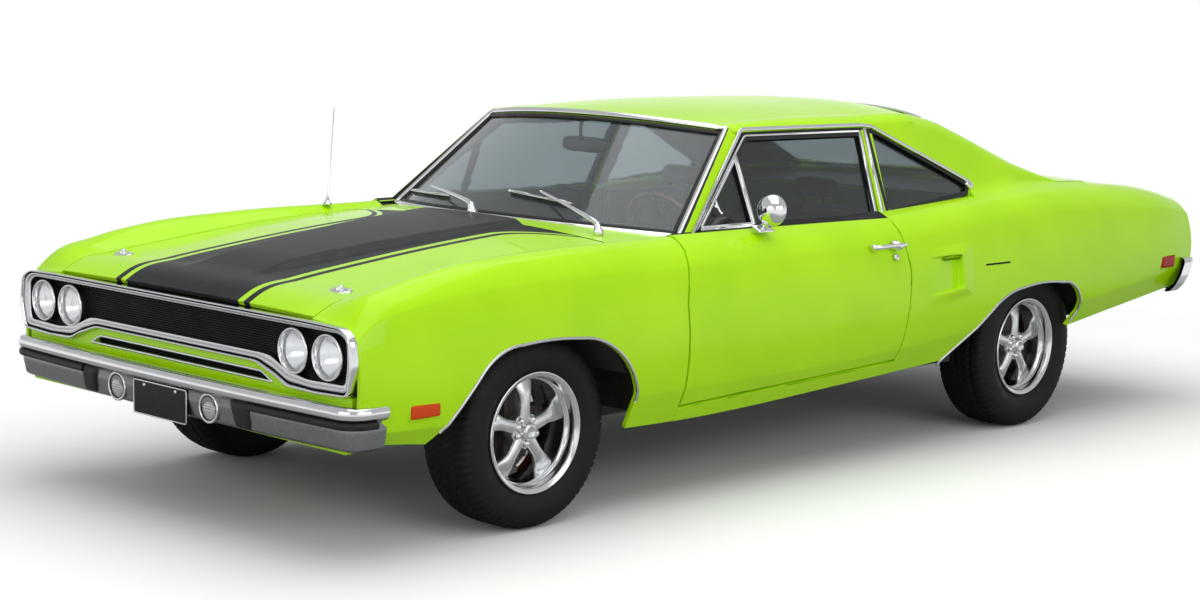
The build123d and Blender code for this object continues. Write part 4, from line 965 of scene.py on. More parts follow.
wheelLook = {
    "tyreSegments": 360,
    "treadPitch": 5,
    "grooveDepth": 0.0065,
    "rimSegments": 144,
    "spokes": 5,
    "lugCircle": 0.044,
}
corners = [
    # name, body, ending of the names of its rim and tyre nodes, centre, side, tyre radius, half width
    ("FrontLeft", "wheel_fl", "front_left", (0.758, -1.640, 0.330), 1, 0.330, 0.117),
    ("FrontRight", "wheel_fr", "front_right", (-0.758, -1.640, 0.330), -1, 0.330, 0.117),
    ("RearLeft", "wheel_rl", "rear_left", (0.752, 1.260, 0.345), 1, 0.345, 0.121),
    ("RearRight", "wheel_rr", "rear_right", (-0.752, 1.260, 0.345), -1, 0.345, 0.121),
]


def revolved(profile, segments, closed=True):
    # (x, radius) profile turned about the X axis
    turn = np.arange(segments) * 2 * math.pi / segments
    x, r = profile[None, :, 0], profile[None, :, 1]
    points = np.stack([np.broadcast_to(x, (segments, x.shape[1])), r * np.cos(turn)[:, None],
                       r * np.sin(turn)[:, None]], -1)
    return points, gridFaces(segments, profile.shape[0], True, closed)


def tyreSurface(radius, half):
    # flank and crown curves turned about the axle, sunk where the tread pattern cuts and raised in rings on
    # the flank
    look = wheelLook
    outer = np.array([(0.096, 0.1905), (0.0962, 0.206), (0.1000, 0.214), (0.108, 0.226), (half - 0.003, 0.246),
                      (half, 0.266), (half - 0.004, radius - 0.044), (half - 0.011, radius - 0.023),
                      (half - 0.021, radius - 0.0105), (half - 0.036, radius - 0.0042),
                      (half - 0.060, radius - 0.0006)])
    flank = throughPoints(outer, 17)
    crown = np.stack([np.linspace(half - 0.060, -(half - 0.060), 23)[1:-1], np.full(21, radius)], -1)
    line = np.concatenate([flank, crown, (flank * [-1, 1])[::-1]])
    inner = np.array([(-0.083, 0.1905), (-half + 0.016, 0.262), (-half + 0.030, radius - 0.026),
                      (0, radius - 0.014), (half - 0.030, radius - 0.026), (half - 0.016, 0.262),
                      (0.083, 0.1905)])
    count = len(line)
    profile = np.concatenate([line, throughPoints(inner, 9)])
    points, faces = revolved(profile, look["tyreSegments"])
    x = profile[:, 0][None, :]
    r = profile[:, 1][None, :]
    step = np.arange(look["tyreSegments"])[:, None]
    onOuter = (np.arange(len(profile)) < count)[None, :]
    tread = onOuter * smoothStep((r - (radius - 0.034)) / 0.006)
    reach = np.abs(x)
    # four rings of groove, then cross cuts: straight over the shoulders, slanting zigzags on the ribs between
    rings = sum(np.clip(1.6 - np.abs(reach - at) / 0.0022, 0, 1) for at in (0.0185, 0.0555))
    pitch = look["treadPitch"]
    slope = np.round(x / 0.0059)
    shoulder = (step % pitch < 1) * (reach > 0.060)
    slant = ((step + slope + 50) % pitch < 1) * (reach < 0.052) * (reach > 0.022)
    fine = ((step - slope + 52) % pitch < 1) * (reach < 0.016)
    depth = look["grooveDepth"] * tread * np.clip(rings + shoulder + 0.6 * slant + 0.6 * fine, 0, 1)
    # flank: two thin raised rings
    rib = 0.0010 * onOuter * sum(np.clip(1.5 - np.abs(r - at) / 0.0016, 0, 1)
                                 for at in (0.2235, radius - 0.050))
    scale = (r - depth) / r
    points[..., 1:] *= scale[..., None]
    points[..., 0] += np.sign(x) * rib
    return points.reshape(-1, 3), faces


def barrelProfile():
    return np.array([
        (0.096, 0.1905), (0.096, 0.2070), (0.0985, 0.2085), (0.1030, 0.2085), (0.1065, 0.2070),
        (0.1080, 0.2045), (0.1072, 0.2010), (0.1045, 0.1975), (0.1025, 0.1920), (0.1000, 0.1890),
        (0.0950, 0.1874), (0.0800, 0.1862), (0.0700, 0.1850), (0.0660, 0.1815), (0.0640, 0.1775),
        (0.0610, 0.1755), (0.0540, 0.1742), (0.0400, 0.1725), (0.0300, 0.1700), (0.0000, 0.1660),
        (-0.0560, 0.1660), (-0.0700, 0.1760), (-0.0940, 0.1850), (-0.1060, 0.2020), (-0.1050, 0.2075),
        (-0.0960, 0.2080), (-0.0960, 0.1905), (-0.0700, 0.1890), (-0.0560, 0.1770), (0.0200, 0.1770),
        (0.0400, 0.1895),
    ])


def spokeSurface():
    # rounded bar from hub to rim: half width, half thickness and centre height are curves of the radius
    r = np.linspace(0.030, 0.1735, 27)[:, None]
    t = (r - 0.030) / 0.1435
    wide = 0.0215 + 0.004 * (1 - t)**3 + 0.0195 * smoothStep((t - 0.40) / 0.60)**1.3
    thick = 0.0150 - 0.0035 * t
    middle = 0.040 - 0.004 * t - 0.008 * smoothStep((t - 0.65) / 0.35) + 0.005 * np.sin(math.pi * t)
    turn = np.arange(28)[None, :] * 2 * math.pi / 28
    c, s = np.cos(turn), np.sin(turn)
    a = wide * np.sign(c) * np.abs(c)**0.62
    b = thick * np.sign(s) * np.abs(s)**0.75
    crown = 0.0045 * (1 - (a / wide)**2) * (s > 0)
    return np.stack([middle + b + crown, a + 0 * r, r + 0 * a], -1), gridFaces(len(r), a.shape[1], False, True)


def spun(points, angle):
    c, s = math.cos(angle), math.sin(angle)
    y, z = points[..., 1], points[..., 2]
    return np.stack([points[..., 0], c * y - s * z, s * y + c * z], -1)


def nutForm(x0, x1, radius, sides=6):
    # hexagonal nut with a rounded nose, along X
    ring = np.arange(24) * 2 * math.pi / 24
    hexagon = radius * 0.93 / np.cos((ring % (2 * math.pi / sides)) - math.pi / sides)
    spans = np.array([(x0, 1.0, 0), (x1 - 0.009, 1.0, 0), (x1 - 0.006, 0.97, 0.6), (x1 - 0.002, 0.72, 1),
                      (x1, 0.35, 1), (x1 + 0.0005, 0.01, 1)])
    r = spans[:, None, 1] * ((1 - spans[:, None, 2]) * np.minimum(hexagon, radius) + spans[:, None, 2] * radius
                             * 0.93)
    x = np.broadcast_to(spans[:, None, 0], r.shape)
    points = np.stack([x, r * np.cos(ring), r * np.sin(ring)], -1)[:, ::-1]
    return points, gridFaces(len(spans), 24, False, True)


def placedWheel(points, faces, centre, side):
    # outer face to +X for the left, turned half round the upright axis for the right
    if side < 0:
        points = points * np.array([-1.0, -1.0, 1.0])
    return points + np.array(centre), faces


def buildWheels():
    look = wheelLook
    count = look["spokes"]
    barrel = revolved(barrelProfile(), look["rimSegments"])
    hubProfile = np.array([(0.004, 0.026), (0.004, 0.050), (0.008, 0.0575), (0.034, 0.0580), (0.047, 0.0560),
                           (0.0515, 0.0520), (0.0520, 0.0340), (0.0520, 0.0260)])
    hub = revolved(hubProfile, 96)
    spoke = spokeSurface()
    cast = joined([hub] + [(spun(spoke[0], 2 * math.pi * i / count), spoke[1]) for i in range(count)])
    capProfile = np.array([(0.045, 0.0001), (0.046, 0.0335), (0.0535, 0.0340), (0.0560, 0.0322),
                           (0.0740, 0.0300), (0.0800, 0.0275), (0.0828, 0.0215), (0.0836, 0.0150),
                           (0.0820, 0.0140), (0.0822, 0.0080), (0.0825, 0.0001)])
    cap = revolved(capProfile, 64)
    nut = nutForm(0.048, 0.0700, 0.0122)
    seatRing = revolved(np.array([(0.050, 0.0175), (0.0540, 0.0170), (0.0540, 0.0135), (0.050, 0.0125)]), 24)
    bright = [cap]
    for i in range(count):
        angle = 2 * math.pi * (i + 0.5) / count
        away = np.array([0.0, 0.0, look["lugCircle"]])
        for points, faces in (nut, seatRing):
            bright.append((spun(points + away, angle), faces))
    shiny = joined(bright)
    for name, body, node, centre, side, radius, half in corners:
        rubber = putMesh("tyre" + name, *placedWheel(*tyreSurface(radius, half), centre, side), tyreRubber,
                         body, slot="tyre")
        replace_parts(rubber, "tyre_" + node)
        polished = putMesh("rimBarrel" + name, *placedWheel(*barrel, centre, side), polishedAlloy, body,
                           slot="alloy")
        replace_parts(polished, "rim_" + node)
        putMesh("rimSpokes" + name, *placedWheel(*cast, centre, side), castAlloy, body, slot="alloy")
        putMesh("hubCap" + name, *placedWheel(*shiny, centre, side), chrome, body, slot="chrome")


buildWheels()
print("stage: wheels")


bumperLook = {
    "face": 2.502,          # plan arc of the section's zero line, at the middle of the car
    "radius": 13.5,
    "angle": 3.75,
    "corner": 0.040,
    "frontTail": 0.070,
    "rearTail": 0.055,
    "apronTop": 0.482,
    # heights and the front section's depths at them
    "faceDepths": ((0.374, 0.386, 0.440, 0.474, 0.484, 0.500), (-0.006, 0.020, 0.031, 0.031, 0.044, 0.048)),
}
frontSection = np.array([(-6, 374), (20, 386), (31, 440), (31, 474), (44, 484), (48, 500), (42, 516),
                         (28, 522), (-6, 522), (-6, 508), (26, 508), (34, 498), (18, 486), (18, 440), (9, 396),
                         (-6, 388)]) * mm
rearSection = np.array([(-6, 508), (20, 512), (38, 540), (48, 585), (46, 640), (34, 660), (-6, 664), (-6, 650),
                        (26, 648), (32, 630), (34, 585), (25, 548), (10, 526), (-6, 522)]) * mm


def bumperPath(tail, steps=(6, 11, 44)):
    # from the left tail round the corner, along the flat arc and back round the right corner, with outward
    # directions
    look = bumperLook
    a = math.radians(look["angle"])
    pivot = np.array([0.0, look["radius"] - look["face"]])
    end = pivot + look["radius"] * np.array([math.sin(a), -math.cos(a)])
    centre = end - look["corner"] * np.array([math.sin(a), -math.cos(a)])
    run = np.linspace(tail, 0, steps[0], endpoint=False)
    tailPoints = np.stack([np.full(len(run), centre[0] + look["corner"]), centre[1] + run], -1)
    tailOut = np.tile([1.0, 0.0], (len(run), 1))
    turn = np.linspace(math.pi / 2, a, steps[1])
    turnOut = np.stack([np.sin(turn), -np.cos(turn)], -1)
    turnPoints = centre + look["corner"] * turnOut
    sweepTurn = np.linspace(a, 0, steps[2] // 2, endpoint=True)[1:]
    arcOut = np.stack([np.sin(sweepTurn), -np.cos(sweepTurn)], -1)
    arcPoints = pivot + look["radius"] * arcOut
    half = np.concatenate([tailPoints, turnPoints, arcPoints])
    out = np.concatenate([tailOut, turnOut, arcOut])
    points = np.concatenate([half, (half * [-1, 1])[::-1][1:]])
    outs = np.concatenate([out, (out * [-1, 1])[::-1][1:]])
    zero = np.zeros((len(points), 1))
    return np.concatenate([points, zero], 1), np.concatenate([outs, zero], 1)


def uprightSweep(path, out, profile):
    # a section (distance along out, height) carried along a level path
    a, b = profile[None, :, :, None].transpose(2, 0, 1, 3)
    return path[:, None] + a * out[:, None] + b * np.array([0, 0, 1.0])


def bumperBar(name, section, tail, replaced, rear=False):
    path, out = bumperPath(tail)
    profile = roundedLine(section, 0.007, closed=True, steps=5)
    points = uprightSweep(path, out, profile)
    if rear:
        # near the ends the lower edge is carried forward, like the edge of the body behind it
        low = np.clip((0.650 - points[..., 2]) / 0.14, 0,
                      1) * smoothStep((np.abs(points[..., 0]) - 0.70) / 0.22)
        points[..., 1] += scoopLook["tailLean"] * low
        points = points * np.array([-1.0, -1.0, 1.0])
    rows, columns = points.shape[:2]
    faces = gridFaces(rows, columns, False, True)
    made = putMesh(name, points, faces, chrome, "body", slot="chrome")
    if not rear:
        # the apron below the ledge is rougher than the ledge, and its much darker base colour is a painted
        # reflection of dark ground
        made.data.materials.append(roughChromePaintedReflection)
        height = points[..., 2].mean(0)
        low = (height + np.roll(height, -1)) / 2 < bumperLook["apronTop"]
        made.data.polygons.foreach_set("material_index", np.tile(low.astype(np.int32), rows - 1))
    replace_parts(made, replaced)
    return made


def faceOfBumper(x, z):
    # y of the front bumper's face at width x and height z
    depth = np.interp(z, *bumperLook["faceDepths"])
    radius = bumperLook["radius"]
    return radius - bumperLook["face"] - np.sqrt((radius + depth)**2 - x**2)


def pillow(corners4, out, high, power=6, count=15):
    # four corners (counter-clockwise seen from outside) blended across, raised by a flat-topped hump
    a, b, c, d = (np.array(p, float) for p in corners4)
    u, v = np.meshgrid(np.linspace(0, 1, count), np.linspace(0, 1, count), indexing="ij")
    u, v = 0.5 - 0.5 * np.cos(math.pi * u), 0.5 - 0.5 * np.cos(math.pi * v)
    u, v = u[..., None], v[..., None]
    flat = (1 - u) * (1 - v) * a + u * (1 - v) * b + u * v * c + (1 - u) * v * d
    hump = (1 - np.abs(2 * u - 1)**power) * (1 - np.abs(2 * v - 1)**power)
    return flat + np.array(out) * high * hump**0.6


def pillowParts(corners, out, front, back, *power):
    # a pillow and the shallower one behind it
    faces = gridFaces(15, 15)
    return [(pillow(corners, out, front, *power), faces), (pillow(corners, out, back, *power), faces[:, ::-1])]


def pillowPiece(name, corners4, out, high, material, body, power=6, **more):
    parts = pillowParts(corners4, out, high, -0.25 * high, power)
    return putMesh(name, *joined(parts), material, body, **more)


def buildBumpers():
    bumperBar("frontBumperBar", frontSection, bumperLook["frontTail"], "front_bumper")
    bumperBar("rearBumperBar", rearSection, bumperLook["rearTail"], "rear_bumper", rear=True)
    path, out = bumperPath(0.030)
    strip = roundedLine(np.array([(0.024, 0.449), (0.045, 0.451), (0.045, 0.473), (0.024, 0.475)]), 0.008,
                        closed=True, steps=4)
    for side, name in ((1, "Left"), (-1, "Right")):
        chosen = path[:, 0] * side > 0.45
        points = uprightSweep(path[chosen], out[chosen], strip)
        made = putMesh("bumperStrip" + name, points, gridFaces(*points.shape[:2], False, True), trimRubber,
                       "body",
                       slot="rubber")
        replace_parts(made, "bumper_pads")
        flat = np.array([(0.398, 0.386), (0.470, 0.386), (0.482, 0.474), (0.374, 0.474)])
        if side < 0:
            flat = flat[::-1]
        box = [(side * x, float(faceOfBumper(x, z)) + 0.002, z) for x, z in flat]
        pillowPiece("bumperPad" + name, box, (0, -1, 0), 0.015, trimRubber, "body", slot="rubber")


buildBumpers()
print("stage: bumpers")


noseLook = {
    "outer": [(712, 764), (880, 759), (926, 733), (941, 648), (914, 548), (760, 541), (612, 543), (565, 566),
              (449, 602)],
    "inner": [(712, 738), (860, 738), (894, 718), (897, 645), (888, 582), (700, 577), (608, 590), (512, 629),
              (470, 632)],
    "across": [(0, -2.465), (0, -2.486), (0.05, -2.4915), (0.13, -2.4925), (0.20, -2.489), (0.23, -2.481),
               (0.27, -2.476), (0.36, -2.476), (0.40, -2.483), (0.45, -2.4862), (0.70, -2.4800),
               (0.86, -2.4765), (0.93, -2.4775), (1.0, -2.475), (1.0, -2.4700), (1.0, -2.448)],
    "darkBands": (5, 6, 7),
    "lamps": [(0.802, 0.658), (0.632, 0.658)],
    # name, finish, slot, span in y, span in z and x of the side markers
    "markers": [
        ("frontMarker", amberLens, "amber_lens", (-2.275, -2.150), (0.463, 0.507), 0.9555),
        ("rearMarker", redLens, "red_lens", (2.190, 2.310), (0.626, 0.678), 0.9435),
    ],
    "slot": [(455, 571), (515, 543)],
}


def atDepth(loop, y):
    return np.stack([loop[:, 0], np.full(len(loop), y), loop[:, 1]], -1)


def fullLoop(half):
    half = np.array(half, float) * mm
    return np.concatenate([half, (half * [-1, 1])[::-1]])


def buildGrille():
    look = noseLook
    outer = roundedLine(fullLoop(look["outer"]), 0.022, closed=True, steps=7)
    inner = roundedLine(fullLoop(look["inner"]), 0.018, closed=True, steps=7)
    across = np.array(look["across"])
    t = across[None, :, 0, None]
    xz = outer[:, None] * (1 - t) + inner[:, None] * t
    y = np.broadcast_to(across[None, :, 1], xz.shape[:2])
    points = np.stack([xz[..., 0], y, xz[..., 1]], -1)
    ring = putMesh("grilleSurround", points, gridFaces(*points.shape[:2], True, False), chrome, "body",
                   slot="chrome")
    ring.data.materials.append(grilleBlack)
    ring.data.materials.append(satinChrome)
    column = np.tile(np.arange(points.shape[1] - 1), points.shape[0])
    index = np.where(np.isin(column, look["darkBands"]), 1, np.where((column >= 9) & (column < 12), 2, 0))
    ring.data.polygons.foreach_set("material_index", index.astype(np.int32))
    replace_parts(ring, "grille_surround")

    def mesh(u, v):
        # horizontal bars every 8 mm and upright ribs every 46 mm
        bars = np.clip(np.cos(2 * math.pi * v / 0.008) * 1.6, -1, 1)
        ribs = np.clip((np.cos(2 * math.pi * u / 0.046) - 0.93) * 20, 0, 1)
        return np.stack([u, -2.449 - 0.004 * np.maximum(bars, ribs), v], -1)

    opening = fullLoop(look["inner"]) * np.array([1.01, 1.0])

    def inside(p):
        depth = outlineDistance(opening, p[..., 0], p[..., 2]) + 0.004
        for x, z in look["lamps"]:
            depth = np.minimum(depth, np.hypot(np.abs(p[..., 0]) - x, p[..., 2] - z) - 0.069)
        return depth

    u, v, faces = trimmedSurface(mesh, between(-0.912, 0.912, 0.0115), between(0.570, 0.744, 0.0013333),
                                 inside)
    grid = putMesh("grilleMesh", mesh(u, v), faces, grilleBlack, "body", slot="black_trim", smooth=False)
    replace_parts(grid, "grille")

    def slats(u, v):
        return np.stack([u, -2.443 - 0.004 * np.clip(np.cos(2 * math.pi * v / 0.0085) * 1.6, -1, 1), v], -1)
    hole = fullLoop([(470, 576), (530, 538)])
    u, v, faces = trimmedSurface(slats, between(-0.54, 0.54, 0.02), between(0.536, 0.578, 0.0014),
                                 lambda p: outlineDistance(hole, p[..., 0], p[..., 2]))
    putMesh("slotMesh", slats(u, v), faces, grilleBlack, "body", slot="black_trim", smooth=False)
    lip = roundedLine(fullLoop(look["slot"]) * np.array([1.006, 1.0]), 0.010, closed=True, steps=5)
    lip = atDepth(lip, -2.4665)
    putMesh("slotLip", *sweep(lip, ovalProfile(0.0032, 0.0042, 10), (0, -1, 0), closed=True), chrome, "body",
            slot="chrome")


def facingForm(profile, segments, at, squash=1.0, wave=None, front=0):
    # a profile turned about X and waved on its first rings, set to look forward: its +X becomes -Y
    points, faces = revolved(profile, segments)
    if wave:
        points[:, :front, 0] += wave(points[:, :front])
    x, y, z = np.moveaxis(points * [1, 1, squash], -1, 0)
    return np.stack([y, -x, z], -1) + np.array(at), faces


def cosineWave(distance, length, height):
    return height * np.cos(distance * 2 * math.pi / length)


def buildLamps():
    ringProfile = np.array([(-0.030, 0.0645), (-0.030, 0.0735), (0.012, 0.0735), (0.0175, 0.0728),
                            (0.0200, 0.0705), (0.0192, 0.0675), (0.0140, 0.0650), (0.0080, 0.0638),
                            (0.0, 0.0645)])
    r = np.concatenate([np.linspace(0.0645, 0.004, 18), [0.0001]])
    dome = np.stack([0.0135 * np.sqrt(np.clip(1 - (r / 0.090)**2, 0, 1)) - 0.0055, r], -1)
    lens = np.concatenate([dome, (dome - [0.004, 0])[::-1]])
    r = np.concatenate([[0.0640], np.linspace(0.062, 0.010, 16), [0.0001]])
    bowl = np.stack([-0.006 - 0.040 * (1 - (r / 0.064)**2), r], -1)
    bowl = np.concatenate([bowl, (bowl - [0.002, 0])[::-1]])

    def flutes(p):
        # upright flutes and a faint square pattern moulded in the glass
        return cosineWave(p[..., 1], 0.0082, 0.0005) + cosineWave(p[..., 2], 0.021, 0.00025)

    places = [(side * x, -2.462, z) for x, z in noseLook["lamps"] for side in (1, -1)]
    rings = joined([facingForm(ringProfile, 72, at) for at in places])
    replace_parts(putMesh("headlampRings", *rings, chrome, "body", slot="chrome"), "lamp_bezels")
    lenses = joined([facingForm(lens, 64, at, wave=flutes, front=len(dome)) for at in places])
    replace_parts(putMesh("headlampLenses", *lenses, lampGlass, "body", slot="lamp_glass"), "front_lamps")
    bowls = joined([facingForm(bowl, 32, at) for at in places])
    putMesh("headlampReflectors", *bowls, reflector, "body", slot="chrome")
    ringProfile = np.array([(-0.004, 0.0400), (-0.004, 0.0520), (0.0025, 0.0515), (0.0045, 0.0485),
                            (0.0035, 0.0440), (0.0, 0.0412)])
    darkRing = np.array([(-0.002, 0.0395), (0.0028, 0.0395), (0.0028, 0.0445), (-0.002, 0.0445)])
    r = np.concatenate([np.linspace(0.0415, 0.004, 14), [0.0001]])
    face = np.stack([0.0050 * (1 - (r / 0.0415)**2) - 0.0015, r], -1)
    lens = np.concatenate([face, np.stack([0 * r - 0.004, r], -1)[::-1]])
    depth = float(faceOfBumper(0.262, 0.428)) - 0.0005
    places = [(side * 0.262, depth, 0.428) for side in (1, -1)]
    rings = joined([facingForm(ringProfile, 56, at, 0.96) for at in places])
    putMesh("turnLampRings", *rings, chrome, "body", slot="chrome")
    gaps = joined([facingForm(darkRing, 48, at, 0.96) for at in places])
    putMesh("turnLampGaps", *gaps, trimRubber, "body", slot="rubber")
    lenses = joined([facingForm(lens, 56, at, 0.96, lambda p: cosineWave(p[..., 2], 0.009, 0.0005), len(face))
                     for at in places])
    putMesh("turnLampLenses", *lenses, clearLens, "body", slot="lamp_glass")
    for name, material, slot, (y0, y1), (z0, z1), x in noseLook["markers"]:
        for side, hand in ((1, "Left"), (-1, "Right")):
            box = [(side * x, y0, z0), (side * x, y1, z0), (side * x, y1, z1), (side * x, y0, z1)]
            if side < 0:
                box = box[::-1]
            made = pillowPiece(name + hand, box, (side, 0, 0), 0.011, material, "body", 10, slot=slot)
            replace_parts(made, "side_markers")
            low, high, left, right = z0 - 0.003, z1 + 0.003, y0 - 0.003, y1 + 0.003
            corners = ((left, low), (right, low), (right, high), (left, high))
            rim = [(side * (x + 0.003), y, z) for y, z in corners]
            rim = roundedLine(rim, 0.006, closed=True, steps=4)
            points, faces = sweep(rim, ovalProfile(0.0035, 0.003, 8), (side, 0, 0), closed=True)
            putMesh(name + "Rim" + hand, points, faces, limePaint, "body", slot="body_paint")


reflector = chromeFinish("reflector", (0.88, 0.89, 0.90), 0.16)
clearLens = finish("clearLens", (0.55, 0.56, 0.55), (0.38, 0.39, 0.38), 0.16, 0.05, 0.35, 60.0, None, 300.0,
                   0.1, 0.0004, 1.0)
buildGrille()
buildLamps()
print("stage: grille and lamps")


doorLoop = [(-0.798, 0.952), (-0.399, 1.2670), (0.2955, 1.2670), (0.2465, 0.948)]
trimLook = {
    "lean": 0.4246,
    "beltX": 0.800,
    "beltZ": 0.960,
    "dripHalf": 0.0075,
    "archHalf": 0.0055,
    "opening": [(-0.852, 0.927), (-0.414, 1.2965), (0.300, 1.2975), (0.376, 1.2905), (0.910, 1.0615),
                (0.934, 1.043)],
    "gutterShift": [(0.016, -0.002), (0.006, -0.0125), (0, -0.0125), (-0.004, -0.012), (-0.006, -0.011),
                    (-0.012, -0.009)],
    "quarterTip": [(0.896, 1.047), (0.920, 1.022), (0.948, 1.036), (0.925, 1.068)],
    "post": [(0.3320, 1.2850), (0.3130, 1.1150), (0.2960, 0.9620)],
    "quarterSeal": [(0.350, 1.275), (0.398, 1.270), (0.880, 1.062), (0.912, 1.041), (0.892, 1.012),
                    (0.330, 0.9600)],
    # strips of a door: side-view points, lift, half width, height, corner radius, closed
    "doorSeals": [
        (doorLoop, 0.0005, 0.0115, 0.002, 0.016),
        ([(-0.800, 0.951), (-0.48, 0.951), (0.246, 0.951)], 0.001, 0.009, 0.004),
    ],
    "doorBars": [
        ([(-0.806, 0.953), (-0.4025, 1.2735), (0.292, 1.2735)], 0.002, 0.0042, 0.0045, 0.014),
        ([(0.2935, 1.2755), (0.2700, 1.1100), (0.2485, 0.9600)], 0.002, 0.0068, 0.005),
        ([(-0.486, 0.958), (-0.486, 1.08), (-0.486, 1.206)], 0.002, 0.0085, 0.006),
        ([(-0.776, 0.962), (-0.494, 1.190), (-0.494, 0.962)], 0.002, 0.0048, 0.0045, 0.010, True),
        ([(-0.785, 0.9545), (-0.64, 0.9545), (-0.494, 0.9545)], 0.002, 0.0062, 0.005),
    ],
    "latchAt": [(-0.668, 1.030)],
    "latchProfile": [(0, 0.0001), (0, 0.0085), (0.006, 0.0085), (0.009, 0.006), (0.0095, 0.0001)],
    "latchFinger": [(-0.668, 1.052), (-0.666, 1.035), (-0.660, 1.012), (-0.652, 1.003)],
    # frames of the front and rear panes: kind, inset share, lift, half width, height, finish and slot
    "paneFrames": [
        ("Trim", -0.004, 0.010, 0.0115, 0.007, chrome, "chrome"),
        ("Seal", 0.022, 0.003, 0.0095, 0.006, trimRubber, "rubber"),
    ],
    "handleBar": [(0.957, 0.058, 0.852), (0.970, 0.075, 0.854), (0.972, 0.120, 0.855),
                  (0.972, 0.180, 0.855), (0.970, 0.226, 0.854), (0.964, 0.238, 0.853)],
    # foot, housing, push button and lock: place, axis, profile of (distance along the axis, radius), sides
    "handleRounds": [
        ((0.938, 0.062, 0.851), (1, 0, 0), [(0, 0.0125), (0.010, 0.0125), (0.022, 0.0085), (0.026, 0.0001)],
         28),
        ((0.936, 0.196, 0.851), (1, 0, 0),
         [(0, 0.0205), (0.010, 0.0205), (0.016, 0.0185), (0.030, 0.0165), (0.034, 0.0140), (0.035, 0.0001)],
         36),
        ((0.966, 0.196, 0.851), (1, 0, 0), [(0, 0.0115), (0.008, 0.0112), (0.0105, 0.009), (0.0110, 0.0001)],
         30),
        ((0.946, 0.198, 0.806), (1, 0, -0.1),
         [(0, 0.0130), (0.006, 0.0128), (0.0085, 0.0105), (0.0080, 0.0085), (0.0066, 0.0080),
          (0.0066, 0.0001)],
         30),
    ],
    "mirrorAt": (0.900, -0.500, 1.020),
    "wipers": [
        # pivot, arm end, blade ends as (share across, share up) of the glass
        ((0.600, -1.098, 0.950), (0.236, 0.240), (0.015, 0.232), (0.448, 0.180)),
        ((-0.020, -1.138, 0.974), (-0.660, 0.180), (-0.930, 0.130), (-0.420, 0.130)),
    ],
}
leanNormal = np.array([1.0, 0.0, trimLook["lean"]]) / math.hypot(1.0, trimLook["lean"])


def leanedX(z):
    return trimLook["beltX"] - trimLook["lean"] * (z - trimLook["beltZ"])


def leanPlane(y, z):
    y, z = paired(y, z)
    return np.stack([leanedX(z), y, z], -1)


def leaning(line, lift=0.0):
    # side-view points (y, z) placed on the plane of the side glass, lifted out of it
    return leanPlane(*np.asarray(line, float).T) + lift * leanNormal


def triangles(faces):
    return faces if faces.shape[1] == 3 else np.concatenate([faces[:, [0, 1, 2]], faces[:, [0, 2, 3]]])


def fanned(rings, quads):
    # rings of points in triangles, the first and last ring closed by a fan round its centre
    rows, columns = rings.shape[:2]
    flat = rings.reshape(-1, 3)
    j = np.arange(columns)
    k = (j + 1) % columns
    last = (rows - 1) * columns
    first = np.stack([k, j, np.full(columns, len(flat))], -1)
    second = np.stack([last + j, last + k, np.full(columns, len(flat) + 1)], -1)
    return np.concatenate([flat, rings[[0, -1]].mean(1)]), np.concatenate([triangles(quads), first, second])


def stripForm(path, profile, outward, closed=False, taper=None):
    # a sweep in triangles, its open ends closed by fans
    if closed:
        points, faces = sweep(path, profile, outward, closed=True)
        return points.reshape(-1, 3), triangles(faces)
    return fanned(*sweep(path, profile, outward, taper=taper))


def crowned(half, high, count=11):
    # cross-section of a pressed strip: flat back, rounded face
    b = half * np.cos(np.linspace(0, math.pi, count))
    a = high * (1 - np.abs(np.linspace(-1, 1, count))**3.0)
    return np.concatenate([np.stack([a, b], -1), [(-0.002, -half), (-0.002, half)]])


def pieceOf(name, parts, material, body, slot, *replaced):
    # several forms as one mesh
    points, faces = joined([(p, triangles(f)) for p, f in parts])
    return putPair(name, points, faces, material, body, slot=slot, replaced=replaced)


def archEdge(arch, lowEnd):
    # points of the wheel arch on the body side, above its straight legs
    line = evened(arch, 260)
    line = line[line[:, 1] > np.where(line[:, 0] > 1.2, 0.435, lowEnd)]
    s = np.linspace(4.0, 1.2, 260)
    y = np.repeat(line[:, 0][:, None], len(s), 1)
    grid = bodySide(y, s[None, :])
    x = np.array([np.interp(z, row[:, 2], row[:, 0]) for z, row in zip(line[:, 1], grid)])
    return np.stack([x, line[:, 0], line[:, 1]], -1)


def roundForm(at, along, profile, count=40):
    # profile of (distance along the axis, radius) turned about an axis through a point
    axis = unit(np.array(along, float))
    first = unit(np.cross(axis, [0.3, 0.5, 0.81]))
    second = np.cross(axis, first)
    turn = np.arange(count) * 2 * math.pi / count
    ring = np.cos(turn)[:, None] * first + np.sin(turn)[:, None] * second
    profile = np.array(profile, float)
    points = np.array(at) + profile[None, :, 0, None] * axis + profile[None, :, 1, None] * ring[:, None]
    return points, gridFaces(count, len(profile), True, False)


glassOut = np.array([0.0, -0.66, 0.75])
rearGlassOut = np.array([0.0, 0.45, 0.89])


def paneSurface(arcs, out):
    # between a lower and an upper arc: u across from -1 to 1, t up from 0 to 1, lifted along the pane's normal
    def point(u, t, lift=0.0):
        u, t = np.asarray(u, float), np.asarray(t, float)
        low, high = (np.stack([half * u, arcPlanY((half, corner), middle, half * u), z + rise * u**2], -1)
                     for half, corner, middle, z, rise in arcs)
        return low + t[..., None] * (high - low) + lift * out
    return point


# half width, y at the corners, y and z at the middle, rise towards the corners: lower arc, then upper arc
glassPoint = paneSurface([(0.770, -0.862, -1.082, 0.948, -0.020), (0.634, -0.466, -0.606, 1.324, -0.032)],
                         glassOut)
rearGlassPoint = paneSurface([(0.632, 1.520, 1.650, 1.012, 0.002), (0.560, 0.876, 1.046, 1.328, -0.038)],
                             rearGlassOut)


